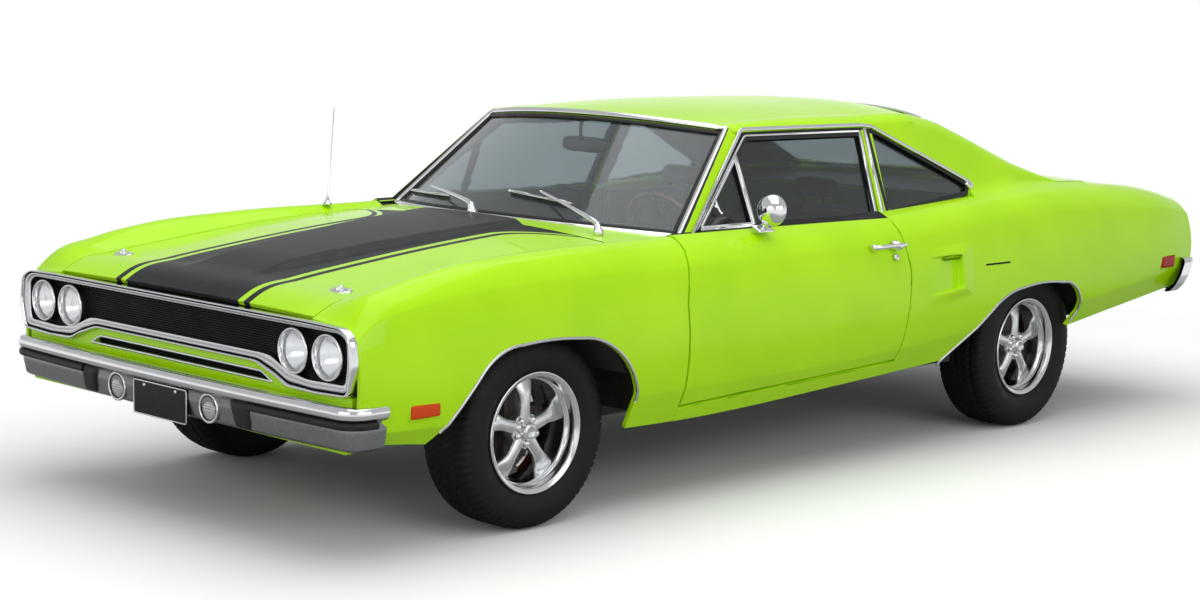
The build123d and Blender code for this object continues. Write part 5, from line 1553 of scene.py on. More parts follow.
def paneLoop(pane, inset, lift, count=40):
    # closed loop round a pane, inset shares from its edges
    a, b = 1 - inset, inset * 1.6
    across, up = np.linspace(-a, a, count), np.linspace(b, 1 - b, count // 2)
    u = np.concatenate([across, np.full(len(up), a)[1:], across[::-1][1:], np.full(len(up), -a)[1:-1]])
    t = np.concatenate([np.full(count, b), up[1:], np.full(count, 1 - b)[1:], up[::-1][1:-1]])
    return pane(u, t, lift)


def leanStrip(line, lift, half, high, radius=None, closed=False):
    # a pressed strip along side-view points on the plane of the side glass, its corners rounded if asked
    if radius:
        line = roundedLine(line, radius, closed)
    return stripForm(leaning(line, lift), crowned(half, high), leanNormal, closed)


def buildWindowTrim():
    look = trimLook

    def sidePiece(name, material, body, parts):
        pieceOf(name, parts, material, body, "chrome" if material is chrome else "rubber")

    gutter = np.array(look["opening"]) + look["gutterShift"]
    drip = leanStrip(look["opening"], 0.0045, look["dripHalf"], 0.006, 0.022)
    sidePiece("dripTrimLeft", chrome, "body", [drip])
    sidePiece("dripSealLeft", trimRubber, "body", [leanStrip(gutter, -0.001, 0.0045, 0.003, 0.02)])
    sidePiece("quarterTipLeft", chrome, "body",
              pillowParts(leaning(look["quarterTip"], 0.001), leanNormal, 0.010, -0.003))
    sidePiece("doorSealLeft", trimRubber, "door_l", [leanStrip(*row) for row in look["doorSeals"]])
    # small latch on the vent pane: a round boss and a turned-down finger
    boss = leaning(look["latchAt"], 0.0)[0]
    finger = leaning(look["latchFinger"], 0.009)
    latch = [roundForm(boss, leanNormal, look["latchProfile"], 20),
             stripForm(finger, ovalProfile(0.003, 0.0055, 10), leanNormal)]
    sidePiece("doorTrimLeft", chrome, "door_l", [leanStrip(*row) for row in look["doorBars"]] + latch)
    sidePiece("postTrimLeft", chrome, "body", [leanStrip(look["post"], 0.001, 0.0090, 0.006)])
    sidePiece("quarterSealLeft", trimRubber, "body",
              [leanStrip(look["quarterSeal"], 0.0, 0.0100, 0.002, 0.012, True)])
    panes = (("windshield", glassPoint, glassOut), ("rearWindow", rearGlassPoint, rearGlassOut))
    for name, pane, out in panes:
        for kind, inset, lift, half, high, material, slot in look["paneFrames"]:
            loop = stripForm(paneLoop(pane, inset, lift), crowned(half, high), out, closed=True)
            pieceOf(name + kind, [loop], material, "body", slot)


def buildArchTrim():
    half = trimLook["archHalf"]
    for name, arch, low in (("frontArchTrimLeft", frontArch, 0.40), ("rearArchTrimLeft", rearArch, 0.34)):
        line = archEdge(arch, low)
        centre = line[:, 1:].mean(0) - [0, 0.1]
        # the strip hugs the edge of the opening, a few millimetres outside it
        line[:, 1:] += 0.003 * unit(line[:, 1:] - centre)
        pieceOf(name, [stripForm(line, ovalProfile(0.0045, half, 12), (1.0, 0, 0.05))], satinChrome, "body",
                "chrome")


def buildDoorFittings():
    look = trimLook
    # pull bar on a front foot, with a rounded housing and a push button at its back end, and a lock below
    handle = [stripForm(throughPoints(look["handleBar"], 30), ovalProfile(0.0045, 0.0085, 14), (1.0, 0, 0))]
    handle += [roundForm(*row) for row in look["handleRounds"]]
    pieceOf("doorHandleLeft", handle, chrome, "door_l", "chrome", "door_left_trim")
    at = np.array(look["mirrorAt"])
    # the head is a shallow dome, domed towards the front, with the glass on its rear face
    away = unit(np.array([0.10, -1.0, 0.04]))
    dome = [(0.0485 * math.cos(a), 0.0590 * math.sin(a)**0.9) for a in np.linspace(0.02, math.pi / 2, 18)]
    rim = [(-0.004, 0.0590), (-0.007, 0.0575), (-0.0075, 0.0545)]
    parts = [roundForm(at, away, dome[1:] + rim, 56)]
    foot = throughPoints([(0.872, -0.512, 0.952), (0.880, -0.516, 0.965), (0.893, -0.520, 0.980),
                          (0.897, -0.518, 1.000)], 20)
    parts.append(stripForm(foot, ovalProfile(0.0105, 0.0125, 16), (0.0, -1.0, 0.2),
                           taper=np.linspace(1.25, 0.85, 20)))
    plate = [(0.886, -0.548, 0.9390), (0.886, -0.464, 0.9390), (0.838, -0.464, 0.9600),
             (0.838, -0.548, 0.9600)]
    parts += pillowParts(plate, unit(np.array([0.4, 0, 1.0])), 0.010, -0.004, 4)
    pieceOf("sideMirror", parts, chrome, "door_l", "chrome")
    glass = roundForm(at, -away, [(0.0055, 0.0560), (0.0075, 0.0545), (0.0072, 0.0300), (0.0070, 0.0001)], 48)
    pieceOf("sideMirrorGlass", [glass], mirrorGlass, "door_l", "chrome")


def buildWipers():
    out = glassOut
    post = [(-0.010, 0.019), (0.000, 0.019), (0.006, 0.0165), (0.012, 0.0135), (0.027, 0.0120),
            (0.034, 0.0085), (0.036, 0.0001)]
    steel, rubber = [], []
    for pivot, armEnd, bladeA, bladeB in trimLook["wipers"]:
        blade = np.array([bladeA, bladeB])

        def onGlass(low, high, count, lift):
            # points of the blade's line between two shares of its length
            ends = blade[0] + np.outer((low, high), blade[1] - blade[0])
            return glassPoint(*np.linspace(*ends, count).T, lift)

        line = onGlass(0, 1, 30, 0.0085)
        rubber.append(stripForm(line - 0.004 * out, ovalProfile(0.0045, 0.0022, 8), out))
        steel.append(stripForm(line + 0.005 * out, ovalProfile(0.0022, 0.0050, 10), out))
        for share in (0.22, 0.78):
            yoke = onGlass(share - 0.16, share + 0.16, 14, 0.0155)
            yoke = yoke + out * 0.005 * np.sin(np.linspace(0, math.pi, 14))[:, None]
            steel.append(stripForm(yoke, ovalProfile(0.0014, 0.0038, 8), out))
        end = glassPoint(*armEnd, 0.024)
        start = np.array(pivot) + np.array([0, -0.004, 0.026])
        bends = [start + share * (end - start) + high * out for share, high in ((0.12, 0.012), (0.55, 0.010))]
        arm = throughPoints([start, *bends, end], 34)
        steel.append(stripForm(arm, ovalProfile(0.0045, 0.0075, 12), out, taper=np.linspace(1.25, 0.62, 34)))
        steel.append(roundForm(pivot, (0, -0.25, 0.97), post, 30))
    pieceOf("wiperArms", steel, chrome, "body", "chrome", "wipers")
    pieceOf("wiperBlades", rubber, trimRubber, "body", "rubber")


def buildHoodPins():
    # an oval scuff plate, a round pin and a bent wire clip on each side
    plate = ((0.046, 0.030, -0.002), (0.046, 0.030, 0.001), (0.0435, 0.0275, 0.0035), (0.020, 0.016, 0.0045),
             (0.0185, 0.0145, 0.0020), (0.0005, 0.0005, 0.0020))
    clip = [(-0.036, -0.004, 0.009), (-0.010, -0.001, 0.010), (0.012, 0.001, 0.010), (0.038, 0.006, 0.009),
            (0.050, 0.002, 0.008), (0.036, -0.008, 0.009), (0.010, -0.010, 0.010)]
    turn = np.linspace(0, 2 * math.pi, 56, endpoint=False)
    parts = []
    for side in (1, -1):
        ground = hoodTop(np.array(-2.270), np.array(side * 0.61 / 0.716))
        at = np.array([side * 0.61, -2.270, float(ground[2]) + 0.0005])
        rings = [at + np.stack([a * np.cos(turn), b * np.sin(turn), c + 0.10 * b * np.sin(turn)], -1)
                 for a, b, c in plate]
        parts.append((np.stack(rings), gridFaces(len(plate), len(turn), False, True)[:, ::-1]))
        parts.append(roundForm(at, (0, 0, 1), [(0.0, 0.0080), (0.013, 0.0080), (0.018, 0.0065),
                                               (0.0195, 0.0001)], 24))
        parts.append(stripForm(throughPoints(at + np.array(clip), 40), ovalProfile(0.0014, 0.0014, 8),
                               (0, 0, 1.0)))
    pieceOf("hoodPins", parts, chrome, "hood_lid", "chrome")


def buildAerial():
    at = np.array([-0.775, -1.220, 0.944])
    lean = unit(np.array([0.0, 0.030, 0.377]))
    base = roundForm(at, lean, [(-0.004, 0.0001), (-0.004, 0.019), (0.001, 0.019), (0.005, 0.016),
                                (0.008, 0.0095), (0.019, 0.0080), (0.024, 0.0060), (0.030, 0.0036),
                                (0.200, 0.0024), (0.372, 0.0015), (0.374, 0.0027), (0.377, 0.0030),
                                (0.3795, 0.0001)], 20)
    pieceOf("aerialMast", [base], chrome, "body", "chrome", "aerial")


mirrorGlass = chromeFinish("mirrorGlass", (0.90, 0.91, 0.92), 0.02)
buildWindowTrim()
buildArchTrim()
buildDoorFittings()
buildWipers()
buildHoodPins()
buildAerial()
print("stage: bright trim")


cabinLook = {
    "seatX": 0.370,
    "voxel": 0.0185,
    "swell": 0.024,
    "pressure": 4.0,
    "pleat": 0.062,
    "pleatDepth": 0.007,
    "pads": {
        # side outline (y, z), half width and corner radius
        "seatCushion": ([(-0.318, 0.412), (-0.322, 0.502), (-0.245, 0.536), (0.180, 0.494), (0.196, 0.412)],
                        0.212, 0.030),
        "seatBack": ([(0.184, 0.535), (0.306, 0.944), (0.350, 0.965), (0.408, 0.944), (0.312, 0.520)], 0.202,
                     0.026),
        "seatHeadrest": ([(0.362, 0.992), (0.386, 1.070), (0.442, 1.066), (0.422, 0.980)], 0.108, 0.022),
        "benchCushion": ([(0.414, 0.420), (0.414, 0.486), (0.476, 0.518), (0.786, 0.466), (0.786, 0.420)],
                         0.598, 0.026),
        "benchBack": ([(0.806, 0.548), (0.914, 0.914), (0.958, 0.930), (0.994, 0.914), (0.944, 0.548)], 0.542,
                      0.022),
    },
    # x, z and radius of each dial
    "dials": [(0.310, 0.810, 0.046), (0.450, 0.810, 0.046), (0.205, 0.812, 0.026), (0.555, 0.812, 0.026),
              (0.040, 0.800, 0.022), (-0.040, 0.800, 0.022)],
    "wheelCentre": (0.380, -0.494, 0.873),
    "wheelTilt": 25,
    "wheelRadius": 0.185,
    "doorCard": [(-0.985, 0.405), (-0.985, 0.930), (0.232, 0.930), (0.232, 0.440)],
}


def padForm(profile, half, radius, across=29):
    # side outline carried across the seat; near both ends it draws in along a quarter circle of the corner
    # radius
    loop = roundedLine(np.array(profile)[::-1], radius * 1.6, closed=True, steps=7)
    middle = loop.mean(0)
    size = np.linalg.norm(loop - middle, axis=1).mean()
    x = half * np.sin(np.linspace(-math.pi / 2, math.pi / 2, across))
    t = np.clip((np.abs(x) - (half - radius * 1.8)) / (radius * 1.8), 0, 1)
    scale = 1 - 0.9 * radius * (1 - np.sqrt(1 - t**2 * 0.999)) / size
    yz = middle + scale[:, None, None] * (loop - middle)
    points = np.stack([np.broadcast_to(x[:, None], yz.shape[:2]), yz[..., 0], yz[..., 1]], -1)
    return fanned(points, gridFaces(len(x), len(loop), False, True))


def evaluatedMesh(piece):
    bpy.context.view_layer.update()
    graph = bpy.context.evaluated_depsgraph_get()
    return bpy.data.meshes.new_from_object(piece.evaluated_get(graph))


def meshArrays(mesh):
    points = np.empty(len(mesh.vertices) * 3, np.float32)
    mesh.vertices.foreach_get("co", points)
    return points.reshape(-1, 3).astype(float)


def plumped(name, points, faces):
    # remeshed evenly, swollen by a short cloth simulation with pressure, each point moving no further than
    # swell
    look = cabinLook
    mesh = bpy.data.meshes.new(name)
    mesh.from_pydata(points.tolist(), [], faces.tolist())
    piece = bpy.data.objects.new(name, mesh)
    bpy.context.scene.collection.objects.link(piece)
    remesh = piece.modifiers.new("evenMesh", "REMESH")
    remesh.mode = "VOXEL"
    remesh.voxel_size = look["voxel"]
    even = evaluatedMesh(piece)
    piece.modifiers.clear()
    piece.data = even
    before = meshArrays(even)
    after = before
    cloth = piece.modifiers.new("swelling", "CLOTH")
    cloth.settings.use_pressure = True
    cloth.settings.uniform_pressure_force = look["pressure"]
    cloth.settings.effector_weights.gravity = 0.0
    cloth.settings.quality = 4
    cloth.point_cache.frame_start = 1
    cloth.point_cache.frame_end = 20
    for step in range(1, 21):
        bpy.context.scene.frame_set(step)
    swollen = evaluatedMesh(piece)
    after = meshArrays(swollen)
    piece.modifiers.clear()
    bpy.context.scene.frame_set(1)
    move = after - before
    length = np.linalg.norm(move, axis=1, keepdims=True)
    after = before + move * np.minimum(1, look["swell"] / np.maximum(length, 1e-9))
    even.vertices.foreach_set("co", after.ravel())
    smooth = piece.modifiers.new("finer", "SUBSURF")
    smooth.levels = smooth.render_levels = 1
    fine = evaluatedMesh(piece)
    bpy.data.objects.remove(piece)
    quads = np.empty(len(fine.polygons) * 4, np.int32)
    fine.polygons.foreach_get("vertices", quads)
    return meshArrays(fine), quads.reshape(-1, 4)


def sewn(points, axisY, axisZ, half, inner):
    # pleats across x on the face that looks along (axisY, axisZ), inside a margin, with a welt round them
    look = cabinLook
    middle = points.mean(0)
    away = (points[:, 1] - middle[1]) * axisY + (points[:, 2] - middle[2]) * axisZ
    along = (points[:, 1] - middle[1]) * axisZ - (points[:, 2] - middle[2]) * axisY
    facing = smoothStep((away - 0.25 * away.max()) / (0.45 * away.max()))
    reach = np.abs(points[:, 0])
    within = smoothStep((half - reach) / 0.012) * smoothStep((inner - np.abs(along)) / 0.012)
    pleat = 1 - np.abs(np.cos(math.pi * points[:, 0] / look["pleat"]))
    groove = look["pleatDepth"] * (0.35 * smoothStep(1 - pleat) + 0.65
                                   * np.clip(1 - pleat * 4.0, 0, 1)) * within
    border = 0.005 * np.exp(-((np.minimum(half - reach, inner - np.abs(along))
                               / 0.006)**2)) * (reach < half + 0.02)
    points = points.copy()
    points[:, 1] -= facing * (groove + border) * axisY
    points[:, 2] -= facing * (groove + border) * axisZ
    return points


def slabForm(loop, levels):
    # a plan outline at each (scale about its middle, height)
    middle = loop.mean(0)
    rings = [np.concatenate([(loop - middle) * k + middle, np.full((len(loop), 1), z)], 1) for k, z in levels]
    return np.stack(rings), gridFaces(len(levels), len(loop), False, True)


def buildSeats():
    look = cabinLook
    faceOf = {"seatCushion": (0.08, 0.997, 0.150, 0.180), "seatBack": (-0.955, 0.295, 0.140, 0.170),
              "benchCushion": (0.15, 0.988, 0.500, 0.125), "benchBack": (-0.955, 0.295, 0.450, 0.150)}
    first = {"seatCushion": "front_seats", "benchCushion": "rear_seat"}
    for name, (profile, half, radius) in look["pads"].items():
        points, faces = plumped(name + "Start", *padForm(profile, half, radius))
        if name in faceOf:
            points = sewn(points, *faceOf[name])
        if "Cushion" in name:
            points[:, 2] = np.maximum(points[:, 2], 0.402)
        sides = ((look["seatX"], "Left"), (-look["seatX"],
                                           "Right")) if name.startswith("seat") else ((0.0, ""),)
        for x, side in sides:
            pad = putMesh(name + side, points + np.array([x, 0, 0]), faces, blackVinyl, "body", slot="vinyl")
            if name in first and side in ("Left", ""):
                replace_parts(pad, first[name])
    frames = []
    for x in (look["seatX"], -look["seatX"]):
        loop = roundedLine([(x - 0.19, -0.26), (x + 0.19, -0.26), (x + 0.19, 0.18), (x - 0.19, 0.18)], 0.05,
                           closed=True, steps=6)
        frames.append(slabForm(loop, ((0.01, 0.331), (1.0, 0.331), (1.0, 0.395), (0.97, 0.400),
                                      (0.01, 0.400))))
        for dx in (-0.05, 0.05):
            post = np.array([(x + dx, 0.372, 0.930), (x + dx, 0.388, 0.965), (x + dx, 0.400, 1.010)])
            frames.append(stripForm(post, ovalProfile(0.006, 0.006, 10), (0, -1, 0)))
    base = joined([(p, triangles(f)) for p, f in frames])
    putMesh("seatFrames", *base, underbody, "body", slot="vinyl", smooth=False)
    bench = roundedLine([(-0.60, 0.42), (0.60, 0.42), (0.60, 0.79), (-0.60, 0.79)], 0.05, closed=True, steps=6)
    slab = slabForm(bench, ((0.01, 0.345), (1.0, 0.345), (1.0, 0.400), (0.01, 0.400)))
    putMesh("benchFrame", *slab, underbody, "body", slot="vinyl", smooth=False)


def buildDash():
    profile = roundedLine([(-0.982, 0.876), (-0.975, 0.728), (-0.765, 0.706), (-0.706, 0.744), (-0.712, 0.872),
                           (-0.762, 0.921), (-0.950, 0.921)],
                          0.022, closed=True, steps=6)[::-1]
    x = np.concatenate([[-0.735, -0.732], np.linspace(-0.728, 0.728, 90), [0.732, 0.735]])
    pinch = np.concatenate([[0.93, 0.985], np.ones(90), [0.985, 0.93]])
    middle = profile.mean(0)
    yz = middle + pinch[:, None, None] * (profile - middle)
    points = np.stack([np.broadcast_to(x[:, None], yz.shape[:2]), yz[..., 0], yz[..., 1]], -1)
    # brow over the instruments and a shallow groove where the padded top meets the panel
    reach = smoothStep((0.23 - np.abs(points[..., 0] - 0.38)) / 0.05)
    top = smoothStep((points[..., 2] - 0.86) / 0.04) * smoothStep((points[..., 1] + 0.86) / 0.08)
    points[..., 2] += 0.022 * reach * top
    face = smoothStep((points[..., 1] + 0.735) / 0.01)
    points[..., 1] -= 0.004 * face * np.exp(-((points[..., 2] - 0.865) / 0.004)**2)
    points, faces = fanned(points, gridFaces(len(x), len(profile), False, True))
    pad = putMesh("dashPad", points, faces, dashVinyl, "body", slot="vinyl")
    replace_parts(pad, "dashboard")
    parts = []
    for x, z, r in cabinLook["dials"]:
        profile = [(-0.004, r), (0.003, r), (0.005, r - 0.0025), (0.003, r - 0.005), (0.001, r - 0.006),
                   (0.001, 0.0001)]
        parts.append(roundForm((x, -0.709, z), (0, 1, 0), profile, 32))
    bar = np.stack([np.linspace(-0.70, 0.12, 40), np.full(40, -0.7045), np.full(40, 0.842)], -1)
    parts.append(stripForm(bar, ovalProfile(0.003, 0.003, 8), (0, 1, 0)))
    pieceOf("dashDials", parts, chrome, "body", "chrome")


def wheelFrame():
    tilt = math.radians(cabinLook["wheelTilt"])
    axis = np.array([0.0, math.cos(tilt), math.sin(tilt)])
    return np.array(cabinLook["wheelCentre"]), axis, np.array([1.0, 0, 0]), np.cross(axis, [1.0, 0, 0])


def buildSteeringWheel():
    look = cabinLook
    centre, axis, right, up = wheelFrame()
    turn = np.linspace(0, 2 * math.pi, 120, endpoint=False)
    ring = np.cos(turn)[:, None] * right + np.sin(turn)[:, None] * up
    path = centre + look["wheelRadius"] * ring
    section = np.arange(16) * 2 * math.pi / 16
    grip = 0.0105 + 0.0007 * np.cos(turn * 28)[:, None]
    outward = (grip * np.cos(section))[..., None] * ring[:, None]
    upward = (grip * np.sin(section) * 0.92)[..., None] * axis
    points = path[:, None] + outward + upward
    rim = putMesh("steeringRim", points, gridFaces(120, 16, True, True), steeringWood, "handwheel",
                  slot="vinyl")
    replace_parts(rim, "steering_wheel")
    boss = [(-0.014, 0.0001), (-0.014, 0.040), (0.006, 0.044), (0.016, 0.040), (0.022, 0.030), (0.024, 0.0001)]
    shaft = [(0, 0.0001), (0, 0.0185), (0.262, 0.0185), (0.262, 0.0001)]
    parts = [roundForm(centre - 0.014 * axis, axis, boss, 40),
             roundForm(centre - 0.275 * axis, axis, shaft, 24)]
    for at in (math.pi / 2 + math.pi, math.radians(30), math.radians(150)):
        out = math.cos(at) * right + math.sin(at) * up
        reach = np.linspace(0.036, 0.178, 16)[:, None]
        line = centre + reach * out - (0.010 - 0.004 * (reach - 0.036) / 0.142) * axis
        parts.append(stripForm(line, ovalProfile(0.0018, 0.0125, 12), axis, taper=np.linspace(1.25, 0.85, 16)))
    pieceOf("steeringSpokes", parts, bareSteel, "handwheel", "chrome")


def buildLinings():
    def lining(y, v):
        p = roofTop(y, np.asarray(v) * 0.93)
        return p - np.array([0, 0, 0.033])

    def within(p):
        return betweenPanes(p, 0.016, 0.020)

    trimmedPanel("headliner", lining, between(-0.62, 1.06, 0.028), np.linspace(-1, 1, 31), within,
                 np.array([0, 0, -1.0]), blackVinyl, "body",
                 depth=0.003, fold=0.001, slot="vinyl")
    outer = [(-0.870, 0.930), (-0.470, 1.290), (0.300, 1.296), (0.700, 1.300), (0.930, 1.235), (1.205, 1.120),
             (1.380, 1.050), (1.380, 0.985), (0.905, 0.985)]
    opening = [(-0.834, 0.926), (-0.408, 1.287), (0.300, 1.287), (0.372, 1.280), (0.903, 1.052),
               (0.922, 1.039), (0.904, 1.016), (0.904, 0.92)]

    def sideLining(y, z):
        return leanPlane(y, z) - 0.0485 * leanNormal

    def besidePane(p):
        y, z = p[..., 1], p[..., 2] + 0.0485 * leanNormal[2]
        return np.minimum(outlineDistance(outer, y, z), -outlineDistance(opening, y, z))

    trimmedPanel("sideLiningLeft", sideLining, between(-0.88, 1.39, 0.020), between(0.92, 1.31, 0.014),
                 besidePane, -leanNormal, blackVinyl, "body",
                 depth=0.001, fold=0.0008, slot="vinyl")
    card = cabinLook["doorCard"]

    def cardFace(y, z):
        y, z = paired(y, z)
        pleats = 0.004 * np.abs(np.cos(math.pi * y / 0.055)) * window(z, 0.60, 0.84, 0.01)
        pleats = pleats * window(y, -0.90, 0.16, 0.01)
        rest = 0.045 * np.exp(-np.abs((z - 0.665) / 0.030)**3) * window(y, -0.62, 0.02, 0.06)
        pocket = 0.006 * smoothStep((0.50 - z) / 0.01)
        return np.stack([0.7755 - pleats - rest - pocket, y, z], -1)

    trimmedPanel("doorCardLeft", cardFace, between(-0.99, 0.24, 0.022), between(0.40, 0.935, 0.022),
                 lambda p: outlineDistance(card, p[..., 1], p[..., 2]),
                 np.array([-1.0, 0, 0]), blackVinyl, "door_l", depth=0.003, fold=0.002, slot="vinyl")
    rear = [(0.350, 0.410), (0.350, 0.925), (0.800, 0.925), (0.800, 0.410)]

    def rearCard(y, z):
        y, z = paired(y, z)
        return np.stack([0.7365 - 0.004 * window(z, 0.60, 0.84, 0.01), y, z], -1)

    trimmedPanel("rearCardLeft", rearCard, between(0.345, 0.805, 0.02), between(0.405, 0.93, 0.02),
                 lambda p: outlineDistance(rear, p[..., 1], p[..., 2]),
                 np.array([-1.0, 0, 0]), blackVinyl, "body", depth=0.002, fold=0.002, slot="vinyl")

    def shelf(y, x):
        y, x = paired(y, x)
        return np.stack([x, y, 0.987 + 0.006 * (y - 1.0)], -1)

    trimmedPanel("parcelShelf", shelf, between(1.02, 1.60, 0.03), between(-0.71, 0.71, 0.03),
                 lambda p: np.minimum(np.minimum(p[..., 1] - 1.03, arcPlanY((0.632, 1.50), 1.61, p[..., 0])
                                                 - p[..., 1]), 0.700 - np.abs(p[..., 0])),
                 np.array([0, 0, 1.0]), blackVinyl, "body", depth=0.004, fold=0.002, slot="vinyl")
    bands = [stripForm(leaning(roundedLine(doorLoop, 0.016), -0.0255), crowned(0.0110, 0.001), -leanNormal)]
    pieceOf("frameLiningLeft", bands, trimRubber, "door_l", "rubber")


def buildInnerMirror():
    at = np.array([0.0, -0.560, 1.205])
    turn = np.linspace(0, 2 * math.pi, 48, endpoint=False)
    c, s = np.cos(turn), np.sin(turn)
    outline = np.stack([0.120 * np.sign(c) * np.abs(c)**0.45, 0.030 * np.sign(s) * np.abs(s)**0.6], -1)
    rings = [(0.01, 0.000), (0.94, 0.000), (1.0, 0.004), (1.0, 0.012), (0.90, 0.021), (0.55, 0.026),
             (0.01, 0.027)]

    def headRings(rows):
        # the outline at each (scale, y)
        points = [np.stack([at[0] + k * outline[:, 0], np.full(48, at[1]) + d, at[2] + k * outline[:, 1]], -1)
                  for k, d in rows]
        return np.stack(points), gridFaces(len(rows), 48, False, True)

    shell = headRings([(k, -d) for k, d in rings])
    arm = throughPoints([at + [0, -0.020, 0.010], at + [0, -0.032, 0.045], at + [0, -0.030, 0.080],
                         at + [0, -0.018, 0.098]], 18)
    foot = roundForm(arm[-1], (0, 0, 1), [(-0.004, 0.0001), (-0.004, 0.016), (0.006, 0.019), (0.008, 0.0001)],
                     24)
    stalk = stripForm(arm, ovalProfile(0.006, 0.008, 12), (0, -1, 0))
    pieceOf("innerMirror", [shell, stalk, foot], dashVinyl, "body", "black_trim")
    glass, faces = headRings([(0.01, 0.0005), (0.92, 0.0005), (0.93, 0.0015), (0.01, 0.0018)])
    pieceOf("innerMirrorGlass", [(glass, faces[:, ::-1])], mirrorGlass, "body", "chrome")


sailLook = {
    "start": 0.34,
    "sunk": 0.006,
    "end": 1.78,
    "rise": 0.020,
    "drop": 0.058,
    "fillet": 0.048,
    "ridge": [(-0.470, 1.304), (0.300, 1.308), (0.720, 1.317), (0.945, 1.262), (1.213, 1.160), (1.395, 1.092),
              (1.600, 1.030), (1.80, 1.008)],
    "opening": [(-0.845, 0.915), (-0.831, 0.940), (-0.410, 1.289), (0.300, 1.289), (0.372, 1.282),
                (0.905, 1.054), (0.925, 1.040), (0.905, 1.014), (0.905, 0.915)],
    "post": [(0.272, 0.930), (0.336, 0.930), (0.380, 1.290), (0.312, 1.290)],
}


def sailHeights(y):
    # heights on the leaning plane: ridge, where the rounding starts, where the fillet starts, crest of the
    # body side
    look = sailLook
    line = throughPoints(look["ridge"], 400)
    ridge = np.interp(y, line[:, 0], line[:, 1])
    crest = tableAt(bodyTable, y)[..., 5] + 0.001
    above = np.maximum(ridge - crest, 0.006)
    shoulder = crest + above * np.clip(1 - look["drop"] / above, 0.45, 1)
    foot = crest + np.minimum(look["fillet"], (shoulder - crest) * 0.62)
    return ridge, shoulder, foot, crest


def sailSurface(y, t):
    # t from 0 to 1: quadratic curve from the rear glass over the ridge on to the leaning plane;
    # 1 to 2 down the plane; 2 to 3 a hollow quadratic curve on to the body side
    y, t = paired(y, t)
    look = sailLook
    ridge, shoulder, foot, crest = sailHeights(y)
    down = np.clip((y - 0.876) / 0.644, 0, 1)
    past = np.clip((y - 1.52) / 0.20, 0, 1)
    innerX = 0.560 + 0.072 * down + 0.068 * past
    onRoof = roofTop(y, 0.560 / 0.590 * 0.86)[..., 2] + 0.001
    onDeck = bodyTop(y, np.minimum(innerX / tableAt(bodyTable, y)[..., 2], 1))[..., 2] + 0.001
    onGlass = 1.290 - 0.276 * down + 0.006
    innerZ = onRoof + smoothStep((y - 0.80) / 0.09) * (onGlass - onRoof)
    innerZ = innerZ + smoothStep(past * 2) * (onDeck - innerZ)
    innerZ = innerZ - look["sunk"] * smoothStep((0.86 - y) / 0.06)
    high = ridge + look["rise"] * smoothStep((1.75 - y) / 0.35)
    a = np.stack([innerX, innerZ], -1)
    b = np.stack([leanedX(high), high], -1)
    c = np.stack([leanedX(shoulder), shoulder], -1)
    e = np.stack([leanedX(foot), foot], -1)
    k = np.stack([leanedX(crest), crest], -1)
    d = bodySide(y, np.full_like(y, 1.14))[..., [0, 2]] - [0.0015, 0.0030]
    t0, t1, t2 = (np.clip(t - n, 0, 1)[..., None] for n in (0, 1, 2))
    over = (1 - t0)**2 * a + 2 * t0 * (1 - t0) * b + t0**2 * c
    # further forward the curve becomes the roof's own edge, sunk a little along its inner line
    edge = roofTop(np.minimum(y, 0.90), 0.816 + 0.184 * np.clip(t, 0, 1))[..., [0, 2]]
    edge = edge - np.stack([0 * y, look["sunk"] * smoothStep(1 - np.clip(t, 0, 1) / 0.25)], -1)
    late = smoothStep((y - 0.56) / 0.34)[..., None]
    over = edge + late * (over - edge)
    c = roofTop(np.minimum(y, 0.90), np.ones_like(y))[..., [0, 2]] * (1 - late) + late * c
    hollow = (1 - t2)**2 * e + 2 * t2 * (1 - t2) * k + t2**2 * d
    xz = np.where(t[..., None] <= 1, over, np.where(t[..., None] <= 2, c + t1 * (e - c), hollow))
    return np.stack([xz[..., 0], y, xz[..., 1]], -1)


def outOfRoof(p):
    # away from a line inside the roof, level across the car
    return p - np.array([0.4, 0.0, 0.6]) - p * [0, 1, 0]


def buildSails():
    look = sailLook
    ys = np.linspace(0.62, 1.60, 24)
    top = [(y, z + 0.004) for y, z in zip(ys, sailHeights(ys)[1])]
    front = [(-0.893, 0.925), (-0.470, 1.304), (0.300, 1.300), (0.60, 1.290)]
    outer = front + top + [(1.600, 0.990), (0.905, 0.990), (0.905, 0.925)]

    def plate(p):
        return np.minimum(outlineDistance(outer, p[..., 1], p[..., 2]),
                          -outlineDistance(look["opening"], p[..., 1], p[..., 2]))

    def above(p):
        return -outlineDistance(look["opening"], p[..., 1], p[..., 2]) - 0.004

    trimmedPanel("roofSideLeft", leanPlane, between(-0.90, 1.61, 0.016), between(0.90, 1.32, 0.011), plate,
                 leanNormal, linedPaint, "body",
                 depth=0.046, fold=0.002)
    trimmedPanel("centrePostLeft", leanPlane, between(0.26, 0.39, 0.009), between(0.92, 1.30, 0.008),
                 lambda p: outlineDistance(look["post"], p[..., 1], p[..., 2]), leanNormal, linedPaint, "body",
                 depth=0.034, fold=0.002)
    ts = stretches((0, 1, 17), (1, 2, 7), (2, 3, 13))
    trimmedPanel("sailLeft", sailSurface, between(look["start"], look["end"], 0.016), ts, above, outOfRoof,
                 limePaint, "body", depth=0.008, fold=0.001, lift=0.0015)
    trimmedPanel("sailLiningLeft", sailSurface, between(look["start"], 1.56, 0.02), np.linspace(0, 1, 12),
                 above,
                 lambda p: -outOfRoof(p), blackVinyl, "body", depth=0.002, fold=0.0008, lift=0.010,
                 slot="vinyl")


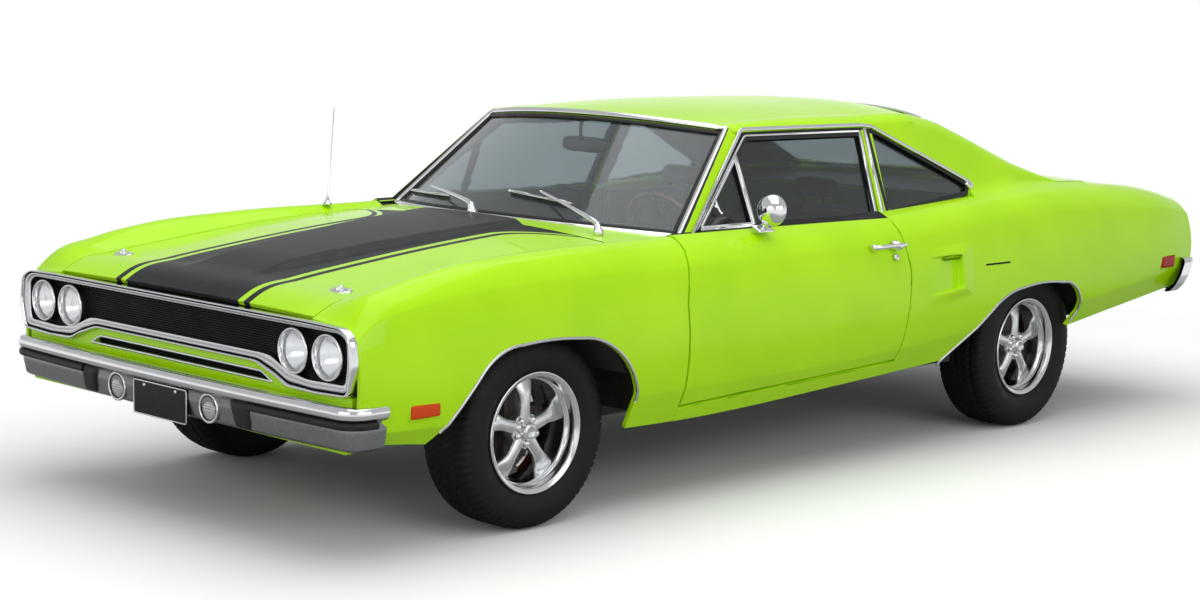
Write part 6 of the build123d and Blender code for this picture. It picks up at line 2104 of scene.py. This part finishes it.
def buildFloor():
    # the floor's own mesh with its tail swept up behind the rear wheels, out of sight below the tail panel
    mesh = cadNodes["floor_pan"].data
    mesh.calc_loop_triangles()
    corner = np.empty(len(mesh.loop_triangles) * 3, np.int32)
    mesh.loop_triangles.foreach_get("vertices", corner)
    points = meshArrays(mesh)
    points[:, 2] += 0.095 * smoothStep((points[:, 1] - 1.65) / 0.55)
    pan = putMesh("floorPan", points, corner.reshape(-1, 3), underbody, "body", slot="underbody", smooth=False)
    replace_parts(pan, "floor_pan")


tailLook = {
    "lampX": (0.252, 0.778),
    "lampZ": (0.722, 0.848),
    "rib": 0.0086,
    "face": 2.5045,
    "plates": [(-2.5372, -1.0, 0.358, 0.470, 0.458), (2.5002, 1.0, 0.702, 0.818, 0.804)],
}


def buildTailLamps():
    look = tailLook
    (x0, x1), (z0, z1) = look["lampX"], look["lampZ"]
    box = roundedLine([(x0, z0), (x1, z0), (x1, z1), (x0, z1)], 0.016, closed=True, steps=7)

    def lens(x, z):
        # ribs are absolute cosines of the height, the whole face domed by a high power of the place
        x, z = paired(x, z)
        across = (x - (x0 + x1) / 2) / ((x1 - x0) / 2)
        y = look["face"] + 0.0016 * np.abs(np.cos(math.pi * (z - z0)
                                                  / look["rib"])) - 0.004 * np.abs(across)**10
        return np.stack([x, y, z], -1)

    trimmedPanel("tailLensLeft", lens, between(x0, x1, 0.030), np.linspace(z0, z1, 88),
                 lambda p: outlineDistance(box, p[..., 0], p[..., 2]) - 0.004, np.array([0, 1.0, 0]), redLens,
                 "body", ("tail_lamps",), depth=0.008, fold=0.0008, slot="red_lens")
    ring = atDepth(box, 2.4965)
    bars = [stripForm(ring, crowned(0.0075, 0.0105), (0, 1, 0), closed=True)]
    for x in (x0 + (x1 - x0) / 3, x0 + 2 * (x1 - x0) / 3):
        bars.append(stripForm([(x, 2.5045, z0 + 0.004), (x, 2.5045, (z0 + z1) / 2), (x, 2.5045, z1 - 0.004)],
                              crowned(0.0035, 0.0035), (0, 1, 0)))
    pieceOf("tailBezelLeft", bars, chrome, "body", "chrome")


def buildPlates():
    parts = []
    for y, out, low, high, bolt in tailLook["plates"]:
        box = roundedLine([(-0.150, low), (0.150, low), (0.150, high), (-0.150, high)], 0.010, closed=True,
                          steps=5)
        ring = atDepth(box, y)
        parts.append(stripForm(ring, crowned(0.0022, 0.0014), (0, out, 0), closed=True))
        for x in (-0.089, 0.089):
            parts.append(roundForm((x, y - 0.001 * out, bolt), (0, out, 0),
                                   [(0, 0.0065), (0.002, 0.0065), (0.0042, 0.0048), (0.0046, 0.0001)], 18))
    pieceOf("plateFrames", parts, chrome, "body", "chrome")


buildTailLamps()
buildPlates()
buildSails()
buildFloor()
buildSeats()
buildDash()
buildSteeringWheel()
buildLinings()
buildInnerMirror()
print("stage: cabin")


studio = {
    "cameraAt": (6.015, -6.647, 1.747),
    "azimuth": 44.21,
    "elevation": 7.66,
    "roll": 1.37,
    "lens": 65.9,
    "floorColour": 0.93,
    "floorBounce": 0.42,
    "worldStrength": 0.55,
    "roomStrength": 0.55,
    "roomEdge": (0.05, 0.30),
    "footprint": (0.75, 2.3),
    "floorLift": 0.25,
    "shadowReach": 1.5,
    "floorHalf": 60.0,
    # each lamp's place, aim, size and power
    "lamps": {
        "skyPanel": ((0.5, -0.5, 6.0), (0, 0, 0), (5.0, 9.0), 190),
        "sidePanel": ((7.0, -1.5, 3.2), (0, -0.2, 0.6), (7.0, 2.2), 90),
        "frontPanel": ((1.5, -8.0, 3.0), (0, -1.5, 0.6), (5.0, 2.0), 60),
    },
}


def aimCamera():
    look = studio
    data = bpy.data.cameras.new("viewCamera")
    data.lens = look["lens"]
    data.sensor_width = 36.0
    camera = bpy.data.objects.new("viewCamera", data)
    bpy.context.scene.collection.objects.link(camera)
    a, e, r = (math.radians(look[k]) for k in ("azimuth", "elevation", "roll"))
    back = Vector((math.sin(a) * math.cos(e), -math.cos(a) * math.cos(e), math.sin(e)))
    right = (-back).cross(Vector((0, 0, 1))).normalized()
    up = right.cross(-back)
    tiltedRight = right * math.cos(r) + up * math.sin(r)
    tiltedUp = up * math.cos(r) - right * math.sin(r)
    turn = Matrix((tiltedRight, tiltedUp, back)).transposed().to_4x4()
    camera.matrix_world = Matrix.Translation(look["cameraAt"]) @ turn
    bpy.context.scene.camera = camera


def rayShare(tree):
    # 1 for rays that go straight to the camera or through glass, and 1 for rays off metal and paint
    rays = nodeIn(tree, "ShaderNodeLightPath").outputs
    return mathOf(tree, "MAXIMUM", rays["Is Camera Ray"], rays["Is Transmission Ray"]), rays["Is Glossy Ray"]


def paleMaterial(name):
    # matt near the car, where its shadow falls, and glowing at strength 1 further off, like the background
    look = studio
    reach = look["shadowReach"]
    material, tree, plain, place = startMaterial(name)
    seen, glossy = rayShare(tree)
    # light that bounces off the floor on to the car finds it darker than the camera does
    feed(plain, {"Roughness": 0.9, "Specular IOR Level": 0.0,
                 "Base Color": rangeOf(tree, seen, look["floorBounce"], look["floorColour"], 0, 1)})
    axes = axesOf(tree, place)
    outside = []
    for axis, half in enumerate(look["footprint"]):
        beyond = mathOf(tree, "SUBTRACT", mathOf(tree, "ABSOLUTE", axes[axis]), half)
        beyond = mathOf(tree, "MAXIMUM", beyond, 0.0)
        outside.append(mathOf(tree, "MULTIPLY", beyond, beyond))
    away = mathOf(tree, "SQRT", mathOf(tree, "ADD", *outside))
    extra = rangeOf(tree, away, 0.0, look["floorLift"], 0.0, reach)
    lift = nodeIn(tree, "ShaderNodeEmission",
                  {"Strength": mathOf(tree, "MULTIPLY", extra, seen), "Color": (1, 1, 1, 1)}).outputs[0]
    near = nodeIn(tree, "ShaderNodeAddShader", {0: plain.outputs[0], 1: lift}).outputs[0]
    glow = nodeIn(tree, "ShaderNodeEmission", {"Strength": 1.0}).outputs[0]
    share = rangeOf(tree, away, 0.0, 1.0, reach, reach * 2)
    fade = nodeIn(tree, "ShaderNodeMixShader", {0: share, 1: near, 2: glow}).outputs[0]
    shown = mathOf(tree, "MAXIMUM", seen, glossy)
    choice = nodeIn(tree, "ShaderNodeMixShader", {0: shown, 1: plain.outputs[0], 2: fade}).outputs[0]
    feed(tree.nodes["Material Output"], {"Surface": choice})
    return material


def softLamp(name, at, aim, size, power):
    data = bpy.data.lights.new(name, "AREA")
    data.shape = "RECTANGLE"
    data.size, data.size_y = size
    data.energy = power
    lamp = bpy.data.objects.new(name, data)
    bpy.context.scene.collection.objects.link(lamp)
    turn = (Vector(aim) - Vector(at)).to_track_quat("-Z", "Y").to_matrix().to_4x4()
    lamp.matrix_world = Matrix.Translation(at) @ turn


def buildStage():
    look = studio
    half = look["floorHalf"]
    mesh = bpy.data.meshes.new("paleFloor")
    corners = [(-half, -half, 0), (half, -half, 0), (half, half, 0), (-half, half, 0)]
    mesh.from_pydata(corners, [], [(0, 1, 2, 3)])
    floor = bpy.data.objects.new("paleFloor", mesh)
    bpy.context.scene.collection.objects.link(floor)
    mesh.materials.append(paleMaterial("paleFloor"))
    world = bpy.data.worlds.new("paleWorld")
    bpy.context.scene.world = world
    world.use_nodes = True
    tree = world.node_tree
    seen, glossy = rayShare(tree)
    # metal and paint see the white surroundings low down and a dimmer room above them
    axes = axesOf(tree, nodeIn(tree, "ShaderNodeTexCoord").outputs["Generated"])
    room = rangeOf(tree, axes[2], 1.0, look["roomStrength"], *look["roomEdge"])
    room.node.interpolation_type = "SMOOTHSTEP"
    lit = mathOf(tree, "MULTIPLY", mathOf(tree, "SUBTRACT", 1.0, glossy), look["worldStrength"])
    lit = mathOf(tree, "ADD", lit, mathOf(tree, "MULTIPLY", glossy, room))
    feed(tree.nodes["Background"], {"Strength": mathOf(tree, "MAXIMUM", seen, lit), "Color": (1, 1, 1, 1)})
    for name, lamp in look["lamps"].items():
        softLamp(name, *lamp)


aimCamera()
buildStage()
bpy.context.scene.view_settings.view_transform = "Standard"
print("stage: camera, floor and light")
